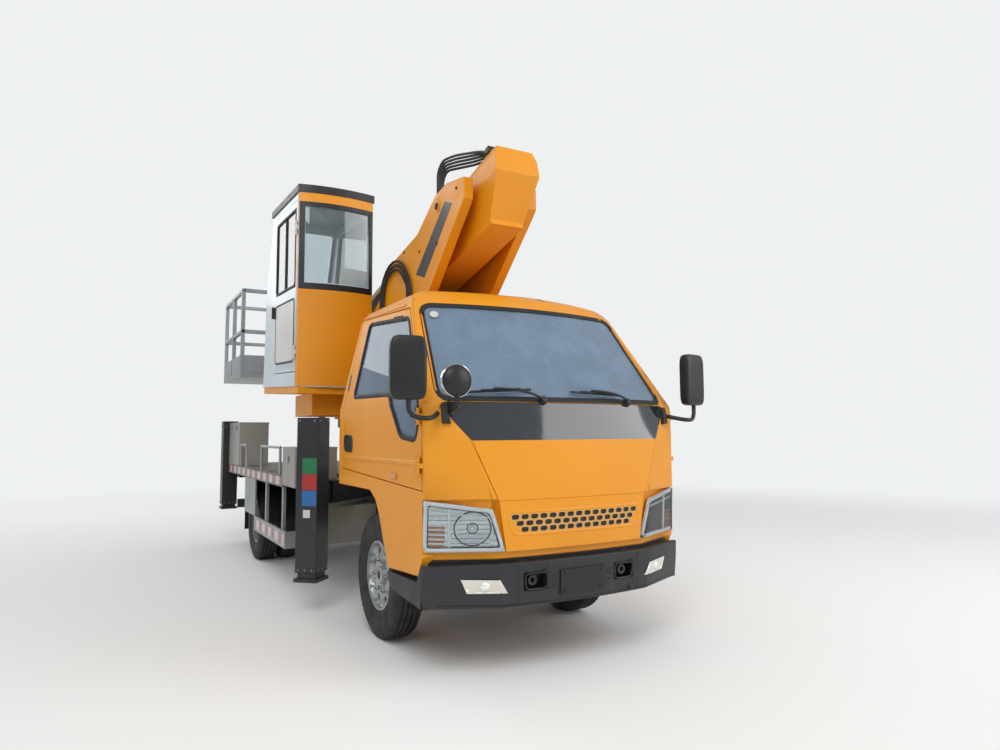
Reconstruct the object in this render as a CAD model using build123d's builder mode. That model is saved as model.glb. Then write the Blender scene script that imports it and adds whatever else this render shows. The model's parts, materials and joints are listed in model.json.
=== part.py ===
from build123d import *
from math import cos, radians, sin, tan
import os

os.makedirs("parts", exist_ok=True)

# A telescopic boom lift on a light cab-over truck, in millimetres.
# The front faces -Y, +X is the vehicle's left side, and Z is up from the ground.
# Places along the vehicle are given as distances behind the front axle.

# Vehicle
wheelbase = 3360.0
front_overhang = 1150.0
rear_overhang = 1485.0
length = front_overhang + wheelbase + rear_overhang
y_axle = front_overhang - length / 2
fit = 0.3             # clearance of pins, bores and seats
running_gap = 5.5     # clearance between pieces that move past each other
pad_gap = 0.5         # clearance of slide pads

# Wheels
tyre_radius = 390.0
tyre_width = 200.0
tyre_bore = 216.0
rim_width = 152.0
front_wheel_x = 692.0
rear_wheel_x = 713.0
twin_pitch = 227.0
hub_radius = 62.0
drum_radius = 150.0
steering_range = 30.0

# Chassis frame
rail_x = 345.0
rail_width = 60.0
rail_low = 590.0
rail_top = 770.0
kingpin_x = 545.0
kingpin_radius = 16.0
axle_depth = 90.0

# Truck cab
cab_floor_low = 940.0
cab_wall = 42.0
skin_depth = 24.0
door_gap = 5.0
door_rear_gap = 10.0
door_opening = 65.0
belt = 1454.0
band_low = 1250.0
panel_low = 932.0
grille_low = 664.0

# Deck and outriggers
deck_half = 1000.0
deck_top = 943.0
deck_edge = 98.0
deck_front = 1740.0
deck_rear = 4640.0
jack_side = 170.0
jack_wall = 9.0
jack_x = 980.0
front_jack_y = 824.0
rear_jack_y = 4740.0
beam_stroke = 700.0

# Turntable and boom
turn_y = 2050.0
ring_radius = 420.0
platform_low = 1430.0
plate_inner = 215.0
plate_depth = 72.0
pivot_y = 160.0
pivot_z = 2920.0
boom_slope = 13.5
boom_half = 165.0
boom_flat = 125.0
boom_over = 138.0
boom_under = 348.0
boom_wall = 9.0
stage_gap = 10.0
tail_reach = 600.0
boom_length = 5015.0
stage_stroke = 3600.0
lift_base_y = 500.0
lift_base_z = 2300.0
lift_eye_s = 3000.0
lift_eye_drop = 420.0
barrel_radius = 60.0
rod_radius = 30.0
lift_stroke = 1025.0

# Operator's cabin
cabin_in = -300.0
cabin_out = -950.0
cabin_front = 1530.0
cabin_nose = 1480.0
cabin_floor = 1685.0
cabin_top = 3345.0
cabin_wall = 36.0
cabin_tilt = 0.05     # its floor and roof rise this much per millimetre to the rear
roof_depth = 65.0
base_depth = 60.0

# Work bucket
bucket_in = -353.0
bucket_out = -1053.0
bucket_front = 3650.0
bucket_rear = 4835.0
bucket_floor = 1918.0
bucket_top = 2896.0


def behind(distance):
    """Y of a place that lies this far behind the front axle."""
    return y_axle + distance


def block(x0, x1, y0, y1, z0, z1, mode=Mode.ADD):
    """A box between two corners, with y behind the front axle."""
    with Locations(((x0 + x1) / 2, behind((y0 + y1) / 2), (z0 + z1) / 2)):
        Box(abs(x1 - x0), abs(y1 - y0), abs(z1 - z0), mode=mode)


def side_prism(points, x0, x1, mode=Mode.ADD, grow=0.0):
    """A prism from x0 to x1 with its outline drawn from the side as (y, z)."""
    with BuildSketch(Plane.YZ.offset(min(x0, x1))) as outline:
        with BuildLine():
            Polyline(*[(behind(y), z) for y, z in points], close=True)
        make_face()
        if grow:
            offset(amount=grow, kind=Kind.INTERSECTION, mode=Mode.REPLACE)
    extrude(outline.sketch, amount=abs(x1 - x0), mode=mode)


def front_prism(points, y0, y1, mode=Mode.ADD, grow=0.0, corner=0.0):
    """A prism from y0 back to y1 with its outline drawn from the front as (x, z)."""
    with BuildSketch(Plane.XZ.offset(-behind(y1))) as outline:
        with BuildLine():
            Polyline(*points, close=True)
        make_face()
        if corner:
            fillet(outline.vertices(), radius=corner)
        if grow:
            offset(amount=grow, kind=Kind.INTERSECTION, mode=Mode.REPLACE)
    extrude(outline.sketch, amount=y1 - y0, mode=mode)


def bar(start, end, radius, mode=Mode.ADD):
    """A round bar between two points (x, y, z), with y behind the front axle."""
    first = Vector(start[0], behind(start[1]), start[2])
    last = Vector(end[0], behind(end[1]), end[2])
    run = last - first
    with BuildSketch(Plane(origin=first, z_dir=run)) as circle:
        Circle(radius)
    extrude(circle.sketch, amount=run.length, mode=mode)


def turned_box(x, y, turn, across, along, z0, z1, mode=Mode.ADD):
    """An upright box centred at (x, y) and turned about Z."""
    with Locations(Location((x, behind(y), (z0 + z1) / 2), (0, 0, turn))):
        Box(across, along, z1 - z0, mode=mode)


def save(piece, name):
    """Label a finished piece and write its STEP file."""
    piece.part.label = name
    export_step(piece.part, f"parts/{name}.step")


sides = (("right", -1), ("left", 1))

# Cab shell: plan sections, columns z, half width, front of the side, corner x, corner y, nose y, rear y
cab_rows = (
    (340.0, 862.0, -905.0, 470.0, -1076.0, -1108.0, 600.0),
    (500.0, 862.0, -925.0, 500.0, -1088.0, -1120.0, 600.0),
    (940.0, 862.0, -945.0, 540.0, -1093.0, -1125.0, 600.0),
    (1250.0, 866.0, -945.0, 620.0, -1062.0, -1112.0, 595.0),
    (1454.0, 866.0, -935.0, 779.0, -955.0, -1062.0, 585.0),
    (2068.0, 745.0, -480.0, 696.0, -500.0, -612.0, 490.0),
    (2140.0, 705.0, -400.0, 640.0, -440.0, -540.0, 460.0),
    (2190.0, 600.0, -290.0, 520.0, -330.0, -420.0, 400.0),
)


def cab_row(z):
    """The plan section's sizes at a height, between the table's rows."""
    for low, high in zip(cab_rows, cab_rows[1:]):
        if low[0] <= z <= high[0]:
            share = (z - low[0]) / (high[0] - low[0])
            return [a + (b - a) * share for a, b in zip(low, high)]
    raise ValueError("height outside the cab")


def cab_body(z0, z1, inset, front_inset=None):
    """The cab's outer form between two heights, drawn in by an inset."""
    front = inset if front_inset is None else front_inset
    heights = [z0] + [row[0] for row in cab_rows if z0 < row[0] < z1] + [z1]
    with BuildPart() as body:
        faces = []
        for z in heights:
            _, half, side_front, corner_x, corner_y, nose, rear = cab_row(z)
            half, rear = half - inset, rear - inset
            side_front, corner_y, nose = side_front + front, corner_y + front, nose + front
            corner_x = corner_x - inset * 0.4
            with BuildSketch(Plane.XY.offset(z)) as section:
                with BuildLine():
                    Polyline(
                        (-corner_x, behind(corner_y)),
                        (-half, behind(side_front)),
                        (-half, behind(rear)),
                        (half, behind(rear)),
                        (half, behind(side_front)),
                        (corner_x, behind(corner_y)),
                    )
                    ThreePointArc(
                        (corner_x, behind(corner_y)), (0, behind(nose)), (-corner_x, behind(corner_y))
                    )
                make_face()
                corners = section.vertices().sort_by(Axis.Y)
                fillet(corners[-2:], radius=45)
            faces.append(section.sketch)
        loft(faces, ruled=True)
    return body.part


door_outline = (
    (-918.0, 985.0), (-918.0, 1440.0), (-462.0, 2040.0), (425.0, 2092.0), (500.0, 1052.0),
)
door_window = (
    (-835.0, 1250.0), (-870.0, 1330.0), (-872.0, 1460.0), (-480.0, 1978.0), (262.0, 2040.0),
    (292.0, 1535.0), (-400.0, 1520.0), (-610.0, 1272.0),
)
screen = ((-779.0, 1470.0), (779.0, 1470.0), (700.0, 2060.0), (-700.0, 2060.0))
rear_window = ((-520.0, 1520.0), (520.0, 1520.0), (500.0, 1960.0), (-500.0, 1960.0))
bonnet = ((-497.0, panel_low), (497.0, panel_low), (636.0, band_low), (-636.0, band_low))
grille = ((-455.0, grille_low), (455.0, grille_low), (497.0, panel_low), (-497.0, panel_low))
band = (
    (-636.0, band_low), (636.0, band_low), (779.0, belt - 20), (760.0, belt),
    (-760.0, belt), (-779.0, belt - 20),
)
lamp = ((455.0, 664.0), (870.0, 668.0), (870.0, 942.0), (856.0, 942.0), (530.0, 893.0))
skin_front = -700.0
lamp_back = -930.0
hinge_x = 880.0
hinge_y = -912.0
hinge_radius = 9.0
pin_radius = 5.0
hinge_heights = (1120.0, 1380.0)


def mirrored(points, side):
    """The same (x, z) outline on the named side."""
    return [(side * x, z) for x, z in points]


outer_cab = cab_body(cab_floor_low, 2190.0, 0.0)
inner_cab = cab_body(cab_floor_low + cab_wall, 2190.0 - cab_wall, cab_wall, cab_wall + skin_depth)
skin_cab = cab_body(500.0, 2190.0, 0.0)
skin_core = cab_body(500.0, 2190.0, skin_depth)

door_leaf = tuple(
    (y - (door_rear_gap - door_gap) if y > 0 else y, z) for y, z in door_outline
)
with BuildPart() as front_skin:
    add(skin_cab)
    add(skin_core, mode=Mode.SUBTRACT)


def skin_piece(points, grow=0.0, back=skin_front):
    """The front skin inside an outline drawn from the front, back to a place on the sides."""
    with BuildPart() as piece:
        add(front_skin.part)
        front_prism(points, -1200, back, mode=Mode.INTERSECT, grow=grow)
    return piece.part


# Cab shell with floor, pillars, roof, rear wall and the lower front corners
panel_gap = 1.5
corner_panel = (
    (-930.0, 945.0), (-930.0, 640.0), (-875.0, 538.0), (-427.0, 513.0), (-340.0, 650.0),
    (-262.0, 800.0), (-193.0, 884.0), (-99.0, 938.0), (-99.0, 945.0),
)
with BuildPart() as lower_front:
    add(cab_body(grille_low - 40, cab_floor_low + 1, skin_depth))
    add(cab_body(grille_low - 50, cab_floor_low + 2, 2 * skin_depth), mode=Mode.SUBTRACT)
    block(-900, 900, -1200, -900, 500, 1000, mode=Mode.INTERSECT)
with BuildPart() as lower_corners:
    add(front_skin.part)
    side_prism(corner_panel, -900, 900, mode=Mode.INTERSECT)
with BuildPart() as cab_shell:
    add(outer_cab)
    add(inner_cab, mode=Mode.SUBTRACT)
    for name, side in sides:
        side_prism(door_outline, side * 500, side * 900, mode=Mode.SUBTRACT, grow=door_gap / 2)
    front_prism(screen, -1200, 0, mode=Mode.SUBTRACT, corner=60)
    front_prism(rear_window, 300, 700, mode=Mode.SUBTRACT, corner=50)
    add(lower_front.part)
    add(lower_corners.part)
    for outline in (bonnet, band):
        add(skin_piece(outline, panel_gap), mode=Mode.SUBTRACT)
    for name, side in sides:
        add(skin_piece(mirrored(lamp, side), panel_gap, lamp_back + panel_gap), mode=Mode.SUBTRACT)
    for name, side in sides:
        for z in hinge_heights:
            block(side * (hinge_x - 25), side * (hinge_x + 4), hinge_y - 28, door_outline[0][0] - 3,
                  z - 13, z + 13)
            block(side * (hinge_x - 8), side * (hinge_x + 4), hinge_y - 28, hinge_y, z - 13, z + 13)
            bar((side * hinge_x, hinge_y, z - 15), (side * hinge_x, hinge_y, z + 15), hinge_radius)
            bar((side * hinge_x, hinge_y, z - 45), (side * hinge_x, hinge_y, z + 45), pin_radius)
save(cab_shell, "cab_shell")

# Bonnet panel with the grille below it
hole_rows = ((842.0, 15), (808.0, 14), (775.0, 13))
hole_pitch = 57.5
hole_width = 45.0
hole_height = 27.0
with BuildPart() as front_panel:
    add(skin_piece(bonnet))
    add(skin_piece(grille, -panel_gap))
    with BuildSketch(Plane.XZ.offset(-behind(skin_front))) as holes:
        for z, count in hole_rows:
            for index in range(count):
                with Locations(((index - (count - 1) / 2) * hole_pitch, z)):
                    SlotOverall(hole_width, hole_height)
    extrude(holes.sketch, amount=600, mode=Mode.SUBTRACT)
save(front_panel, "front_panel")

with BuildPart() as front_band:
    add(skin_piece(band))
save(front_band, "front_band")

with BuildPart() as headlamps:
    for name, side in sides:
        add(skin_piece(mirrored(lamp, side), -panel_gap, lamp_back))
save(headlamps, "headlamps")

# Bumper, open ahead of the two towing sockets
tow_x = 302.0
tow_z = 505.0
tow_bore = 14.0
tow_radius = 27.0
tow_length = 125.0
bumper_side = (
    (-1300.0, 372.0), (-900.0, 383.0), (-480.0, 410.0), (-430.0, 500.0), (-868.0, 508.0),
    (-920.0, 603.0), (-1300.0, 612.0),
)
with BuildPart() as bumper:
    add(cab_body(345.0, 612.0, -10.0, front_inset=-30.0))
    add(cab_body(340.5, 625.0, 45.0, front_inset=30.0), mode=Mode.SUBTRACT)
    side_prism(bumper_side, -900, 900, mode=Mode.INTERSECT)
    for name, side in sides:
        block(side * (tow_x - 76), side * (tow_x + 66), -1200, -900, tow_z - 47, tow_z + 45,
              mode=Mode.SUBTRACT)
save(bumper, "bumper")

# Glass of the windscreen and the rear window
glass_out = 8.0
glass_in = 14.0
glass_low = 1240.0
glass_high = 2110.0
with BuildPart() as glass_layer:
    add(cab_body(glass_low, glass_high, glass_out))
    add(cab_body(glass_low, glass_high, glass_in), mode=Mode.SUBTRACT)
with BuildPart() as screen_glass:
    add(glass_layer.part)
    front_prism(screen, -1200, 0, mode=Mode.INTERSECT, grow=-fit, corner=60)
with BuildPart() as rear_glass:
    add(glass_layer.part)
    front_prism(rear_window, 300, 700, mode=Mode.INTERSECT, grow=-fit, corner=50)
with BuildPart() as cab_glass:
    add(screen_glass.part)
    add(rear_glass.part)
save(cab_glass, "cab_glass")

# Doors, each with its window cut and a hinge pair at the front
with BuildPart() as door_wall:
    add(outer_cab)
    add(cab_body(cab_floor_low + cab_wall, 2190.0 - cab_wall, cab_wall), mode=Mode.SUBTRACT)
for name, side in sides:
    with BuildPart() as door:
        add(door_wall.part)
        side_prism(door_leaf, side * 500, side * 900, mode=Mode.INTERSECT, grow=-door_gap / 2)
        side_prism(door_window, side * 500, side * 900, mode=Mode.SUBTRACT)
        for z in hinge_heights:
            for low in (z - 45, z + 15 + fit):
                high = low + 30 - fit
                bar((side * hinge_x, hinge_y, low), (side * hinge_x, hinge_y, high), hinge_radius)
                block(side * (hinge_x - 8), side * (hinge_x + 4), hinge_y, hinge_y + 34, low, high)
                block(side * (hinge_x - 25), side * (hinge_x + 4), hinge_y + 10, hinge_y + 34, low, high)
                bar(
                    (side * hinge_x, hinge_y, low - 1), (side * hinge_x, hinge_y, high + 1),
                    pin_radius + fit, mode=Mode.SUBTRACT,
                )
    save(door, f"door_{name}")
    with BuildPart() as pane:
        add(glass_layer.part)
        side_prism(door_window, side * 500, side * 900, mode=Mode.INTERSECT, grow=-fit)
    save(pane, f"door_glass_{name}")

# Dash, two seats and the steering wheel
cab_floor = cab_floor_low + cab_wall
dash = (
    (-890.0, cab_floor), (-890.0, 1400.0), (-700.0, 1430.0), (-640.0, 1380.0),
    (-640.0, 1280.0), (-800.0, 1150.0), (-800.0, cab_floor),
)
seat_back = ((210.0, 1230.0), (330.0, 1780.0), (410.0, 1780.0), (330.0, 1150.0), (230.0, 1150.0))
wheel_hub = (380.0, -500.0, 1440.0)
with BuildPart() as cab_interior:
    side_prism(dash, -745, 745)
    for seat_x in (-400.0, 400.0):
        block(seat_x - 200, seat_x + 200, -220, 260, cab_floor, 1130)
        block(seat_x - 240, seat_x + 240, -270, 230, 1130, 1230)
        side_prism(seat_back, seat_x - 235, seat_x + 235)
        block(seat_x - 120, seat_x + 120, 325, 415, 1780, 1930)
    bar((wheel_hub[0], -720.0, 1320.0), wheel_hub, 26)
    wheel_plane = Plane(
        origin=(wheel_hub[0], behind(wheel_hub[1]), wheel_hub[2]), x_dir=(1, 0, 0), z_dir=(0, 220, 120)
    )
    with BuildSketch(wheel_plane) as ring:
        Circle(205)
        Circle(178, mode=Mode.SUBTRACT)
        Rectangle(380, 30)
        Circle(50)
    extrude(ring.sketch, amount=12, both=True)
save(cab_interior, "cab_interior")

# Mirrors on their tube arms, which end on the cab's skin
mirror_x = 985.0
arm_radius = 13.0


def tube_run(points, radius):
    """A bent tube through points (x, y, z) with round bends."""
    with BuildLine() as path:
        Polyline(*[(x, behind(y), z) for x, y, z in points])
    with BuildSketch(Plane(origin=path.line @ 0, z_dir=path.line % 0)) as section:
        Circle(radius)
    sweep(section.sketch, path=path.line, transition=Transition.ROUND)


with BuildPart() as mirrors:
    for name, side in sides:
        turned_box(side * mirror_x, -1020, side * 12, 190, 75, 1460, 1790)
        tube_run(
            ((side * 780, -940, 1400), (side * 880, -1085, 1360), (side * mirror_x, -1030, 1375),
             (side * mirror_x, -1030, 1470)), arm_radius,
        )
    tube_run(((-740, -950, 1390), (-745, -1115, 1430), (-745, -1115, 1480)), arm_radius)
    bar((-745, -1135, 1560), (-745, -1095, 1560), 88)
    add(skin_cab, mode=Mode.SUBTRACT)
save(mirrors, "mirrors")

# Engine as one plain block with its mounting ears
with BuildPart() as engine_block:
    block(-270, 270, -280, 640, 500, 900)
    for name, side in sides:
        block(side * 270, side * (rail_x - rail_width / 2), -60, 60, 620, 740)
save(engine_block, "engine_block")

# Chassis rails, cross members, cab mounts, towing sockets and the rear underrun bar.
# Members meet with the weld gap of a fit between them.
frame_front = -1040.0
frame_rear = wheelbase + rear_overhang - 10
rail_in = rail_x - rail_width / 2
rail_out = rail_x + rail_width / 2
underrun_top = 500.0
cross_members = (-1000.0, 980.0, 1900.0, 2700.0, 3900.0)
with BuildPart() as chassis_frame:
    for name, side in sides:
        block(side * rail_in, side * rail_out, frame_front, frame_rear, rail_low, rail_top)
        for y in (-800, 480):
            block(side * (rail_x - 25), side * (rail_x + 25), y - 40, y + 40, rail_top + fit, cab_floor_low)
        socket_rear = frame_front + 55
        bar((side * tow_x, socket_rear - tow_length, tow_z), (side * tow_x, socket_rear, tow_z), tow_radius)
        block(side * (tow_x - 15), side * (rail_x + 10), frame_front + 5, socket_rear,
              tow_z + 5, rail_low - fit)
        bar((side * tow_x, socket_rear - tow_length - 1, tow_z), (side * tow_x, socket_rear + 1, tow_z),
            tow_bore, mode=Mode.SUBTRACT)
        block(side * 320, side * 370, 4780, frame_rear, underrun_top + fit, rail_low - fit)
        block(side * (rail_x - 25), side * (rail_x + 25), -1085, frame_front - fit, 560, rail_low + 20)
    for y in cross_members:
        block(-rail_in + fit, rail_in - fit, y - 35, y + 35, 690, rail_top)
    block(-860, 860, 4780, 4845, 400, underrun_top)
    add(bumper.part, mode=Mode.SUBTRACT)
save(chassis_frame, "chassis_frame")

# Axles with leaf springs
spring_x = 330.0
with BuildPart() as front_axle:
    block(-505, 505, -45, 45, tyre_radius - axle_depth, tyre_radius - 20)
    for name, side in sides:
        bar((side * kingpin_x, 0, 345), (side * kingpin_x, 0, 435), 32)
        block(side * 500, side * kingpin_x, -32, 32, 345, 390)
        bar((side * kingpin_x, 0, 340), (side * kingpin_x, 0, 440), kingpin_radius + fit, mode=Mode.SUBTRACT)
        side_prism(
            ((-620, 540), (-620, 585), (0, 440), (620, 585), (620, 540), (0, 395)),
            side * (spring_x - 30), side * (spring_x + 30),
        )
        block(side * (spring_x - 35), side * (spring_x + 35), -60, 60, 340, 420)
        for y in (-600, 600):
            block(side * (spring_x - 25), side * (spring_x + 25), y - 25, y + 25, 560, rail_low)
save(front_axle, "front_axle")

with BuildPart() as rear_axle:
    bar((-495, wheelbase, tyre_radius), (495, wheelbase, tyre_radius), 55)
    bar((-rear_wheel_x - 60, wheelbase, tyre_radius), (rear_wheel_x + 60, wheelbase, tyre_radius), 28)
    with Locations((0, behind(wheelbase), tyre_radius)):
        Sphere(150)
    bar((0, 660, 620), (0, wheelbase - 100, 415), 40)
    for name, side in sides:
        side_prism(
            ((wheelbase - 700, 530), (wheelbase - 700, 580), (wheelbase, 490),
             (wheelbase + 700, 580), (wheelbase + 700, 530), (wheelbase, 440)),
            side * (spring_x - 30), side * (spring_x + 30),
        )
        for y in (wheelbase - 670, wheelbase + 670):
            block(side * (spring_x - 25), side * (spring_x + 25), y - 25, y + 25, 560, rail_low)
save(rear_axle, "rear_axle")

for name, side in sides:
    with BuildPart() as knuckle:
        for low in (435 + fit, 345 - fit - 30):
            bar((side * kingpin_x, 0, low), (side * kingpin_x, 0, low + 30), 32)
            block(side * kingpin_x, side * 600, -32, 32, low, low + 30)
        block(side * 582, side * 600, -45, 45, 315 - fit, 465 + fit)
        bar((side * kingpin_x, 0, 320), (side * kingpin_x, 0, 460), kingpin_radius)
        bar((side * 590, 0, tyre_radius), (side * 760, 0, tyre_radius), 28)
    save(knuckle, f"knuckle_{name}")

# Tyres and wheels, each turned from a profile of (distance outward, radius)
tyre_profile = (
    (-0.38, tyre_bore), (-0.5, tyre_bore + 45), (-0.5, tyre_radius - 50), (-0.38, tyre_radius - 8),
    (-0.2, tyre_radius), (0.2, tyre_radius), (0.38, tyre_radius - 8), (0.5, tyre_radius - 50),
    (0.5, tyre_bore + 45), (0.38, tyre_bore),
)


def turned(points, x, y, side):
    """A ring turned about a wheel axle from (distance outward, radius) points."""
    axle = Plane(origin=(side * x, behind(y), tyre_radius), x_dir=(side, 0, 0), z_dir=(0, -side, 0))
    with BuildSketch(axle) as profile:
        with BuildLine():
            Polyline(*points, close=True)
        make_face()
    revolve(profile.sketch, axis=Axis(axle.origin, (side, 0, 0)))


def tyre_points(centre):
    """The tyre's profile with its middle this far outward."""
    return [(centre + share * tyre_width, radius) for share, radius in tyre_profile]


hand_holes = 8
hand_hole_radius = 22.0
hand_hole_ring = 158.0
spindle_bore = 28.0 + fit
barrel = tyre_bore - fit
reach = twin_pitch / 2 + rim_width / 2
for name, side in sides:
    with BuildPart() as tyre:
        turned(tyre_points(0), front_wheel_x, 0, side)
    save(tyre, f"tyre_front_{name}")
    with BuildPart() as wheel:
        turned(((-76, barrel - 12), (-76, barrel), (76, barrel), (76, barrel - 12)), front_wheel_x, 0, side)
        turned(((20, 50), (44, 110), (24, barrel - 10), (36, barrel - 10), (56, 108), (34, 50)),
               front_wheel_x, 0, side)
        turned(((-80, spindle_bore), (-80, hub_radius), (-70, drum_radius), (-20, drum_radius),
                (-20, hub_radius), (72, hub_radius - 8), (72, spindle_bore)), front_wheel_x, 0, side)
        for index in range(hand_holes):
            turn = radians(360 / hand_holes * (index + 0.5))
            y, z = hand_hole_ring * cos(turn), tyre_radius + hand_hole_ring * sin(turn)
            bar((side * (front_wheel_x + 8), y, z), (side * (front_wheel_x + 70), y, z),
                hand_hole_radius, mode=Mode.SUBTRACT)
    save(wheel, f"wheel_front_{name}")
    with BuildPart() as twin_tyres:
        for share in (-0.5, 0.5):
            turned(tyre_points(share * twin_pitch), rear_wheel_x, wheelbase, side)
    save(twin_tyres, f"tyres_rear_{name}")
    with BuildPart() as twin_wheel:
        turned(((-reach, barrel - 12), (-reach, barrel), (reach, barrel), (reach, barrel - 12)),
               rear_wheel_x, wheelbase, side)
        turned(((-10, 60), (-10, barrel - 10), (10, barrel - 10), (10, 60)), rear_wheel_x, wheelbase, side)
        turned(((-170, 58.0), (-170, drum_radius), (-60, drum_radius), (-60, 80), (70, 80),
                (70, spindle_bore), (-60, spindle_bore), (-60, 58.0)), rear_wheel_x, wheelbase, side)
        for index in range(hand_holes):
            turn = radians(360 / hand_holes * (index + 0.5))
            y, z = wheelbase + hand_hole_ring * cos(turn), tyre_radius + hand_hole_ring * sin(turn)
            bar((side * (rear_wheel_x - 30), y, z), (side * (rear_wheel_x + 30), y, z),
                hand_hole_radius, mode=Mode.SUBTRACT)
    save(twin_wheel, f"wheel_rear_{name}")

# Fuel tank and battery box
with BuildPart() as fuel_tank:
    block(rail_x + rail_width / 2, 850, 1160, 1700, 420, 740)
    fillet(fuel_tank.edges().filter_by(Axis.Y), radius=50)
save(fuel_tank, "fuel_tank")
# Deck plate on its sills, runners and cross bearers, with a raised load plate behind the pedestal
bearers = (1800.0, 2500.0, 2880.0, 3840.0, 4400.0, 4600.0)
plate_low = deck_top - 45.0
sill_width = 30.0
runner_in = rail_x - 40.0
runner_out = rail_x + 40.0
load_plate = 4.0
with BuildPart() as deck:
    block(-deck_half, deck_half, deck_front, deck_rear, plate_low, deck_top)
    block(-deck_half + 60, deck_half - 60, 2500, 3900, deck_top + fit, deck_top + load_plate)
    for name, side in sides:
        block(side * (deck_half - sill_width), side * deck_half, deck_front, deck_rear,
              deck_top - deck_edge, plate_low - fit)
        block(side * runner_in, side * runner_out, deck_front, deck_rear, rail_top, plate_low - fit)
        for y in bearers:
            block(side * (runner_out + fit), side * (deck_half - sill_width - fit), y - 30, y + 30,
                  deck_top - deck_edge, plate_low - fit)
    for y in bearers:
        block(-runner_in + fit, runner_in - fit, y - 30, y + 30, deck_top - deck_edge, plate_low - fit)
save(deck, "deck")

# Lockers on the deck, battery box, and the cabinet ahead of the deck's right side
locker_front = 3940.0
locker_top = 1424.0
with BuildPart() as storage_boxes:
    for name, side in sides:
        block(side * 680, side * (deck_half - 2), locker_front, deck_rear, deck_top, locker_top)
    block(-850, -(rail_x + rail_width / 2), 1160, 1540, 430, 720)
    block(-1000, -660, 1300, deck_front, 862, 1180)
save(storage_boxes, "storage_boxes")

# Side guards with posts, wheel plates and grab rails
guard_front = 1600.0
plate_y = (2920.0, 3490.0)
hoops = ((1900.0, 2720.0), (3520.0, 3880.0))
hoop_top = 1175.0
rail_tube = 12.0
with BuildPart() as side_guards:
    for name, side in sides:
        x0, x1 = side * (deck_half - 20), side * deck_half
        block(x0, x1, guard_front, plate_y[0] + 20, 352, 490)
        block(side * 860, side * (deck_half - 20 - fit), guard_front, guard_front + 20, 352, 490)
        for y in (guard_front + 200, 2500):
            block(side * (deck_half - 45), side * (deck_half - 20 - fit), y - 25, y + 25, 352,
                  deck_top - deck_edge)
        block(side * (deck_half - 12), side * deck_half, plate_y[0], plate_y[1],
              490 + fit, deck_top - deck_edge)
        for y0, y1 in hoops:
            for y in (y0, y1):
                bar((side * 985, y, deck_top), (side * 985, y, hoop_top - rail_tube - fit), rail_tube)
            bar((side * 985, y0 - 11, hoop_top), (side * 985, y1 + 11, hoop_top), rail_tube)
save(side_guards, "side_guards")

# Mudguards over the rear wheels and the rear flaps
guard_radius = 440.0
flap_y = bearers[3] + 30
with BuildPart() as mudguards:
    for name, side in sides:
        x0, x1 = side * 490, side * 940
        with BuildSketch(Plane.YZ.offset(min(x0, x1))) as arch:
            with Locations((behind(wheelbase), tyre_radius)):
                Circle(guard_radius)
                Circle(guard_radius - 6, mode=Mode.SUBTRACT)
            with Locations((behind(wheelbase), tyre_radius - guard_radius + 60)):
                Rectangle(4 * guard_radius, 2 * guard_radius, mode=Mode.SUBTRACT)
        extrude(arch.sketch, amount=450)
        block(x0, x1, wheelbase - 20, wheelbase + 20, tyre_radius + guard_radius - 3, deck_top - 45)
        block(side * 500, side * 930, flap_y, flap_y + 8, 250, deck_top - 60)
save(mudguards, "mudguards")

# Outrigger housings: two diagonal tubes behind the cab and one across the rear
beam_low = 795.0
beam_high = 915.0
housing_high = 940.0
front_beam_width = 104.0
front_beam_length = 1120.0
shift = 0.5 ** 0.5


def diagonal(side, start, end, width, z0, z1, mode=Mode.ADD):
    """A box along a front beam's line between two distances from its stowed jack."""
    middle = (start + end) / 2 * shift
    turned_box(side * (jack_x - middle), front_jack_y + middle, side * -45, end - start, width, z0, z1, mode)


wall_gap = running_gap + 12
rear_beams = {-1: (4655.0, 4737.0), 1: (4743.0, 4825.0)}
with BuildPart() as outrigger_housings:
    for name, side in sides:
        diagonal(side, 190, 1170, front_beam_width + 2 * wall_gap, rail_top, housing_high)
    for name, side in sides:
        diagonal(side, 100, 1160, front_beam_width + 2 * running_gap,
                 beam_low - running_gap, beam_high + running_gap, mode=Mode.SUBTRACT)
    block(-870, 870, 4645, 4835, rail_top, housing_high)
    for y0, y1 in rear_beams.values():
        block(-880, 880, y0, y1, beam_low - running_gap, beam_high + running_gap, mode=Mode.SUBTRACT)
save(outrigger_housings, "outrigger_housings")

jack_inside = jack_side - 2 * jack_wall
leg_side = jack_inside - 2 * running_gap
front_jack = (front_jack_y, 45, 300.0, 1408.0, 235.0)
rear_jack = (rear_jack_y, 0, 455.0, 1450.0, 402.0)
foot_depth = 25.0


def jack_tube(side, jack):
    """The square outer tube of a jack, open below."""
    y, turn, low, top, _ = jack
    turned_box(side * jack_x, y, turn, jack_side, jack_side, low, top)
    turned_box(side * jack_x, y, turn, jack_inside, jack_inside, low - 1, top - 12, mode=Mode.SUBTRACT)


def jack_leg(side, jack):
    """The sliding leg of a jack with its foot plate and top collar."""
    y, turn, low, top, foot = jack
    collar = jack_inside - 2 * pad_gap
    turned_box(side * jack_x, y, turn, jack_side + 10, jack_side + 10, foot, foot + foot_depth)
    turned_box(side * jack_x, y, turn, leg_side, leg_side, foot + foot_depth, top - 60)
    turned_box(side * jack_x, y, turn, collar, collar, top - 520, top - 460)


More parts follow.
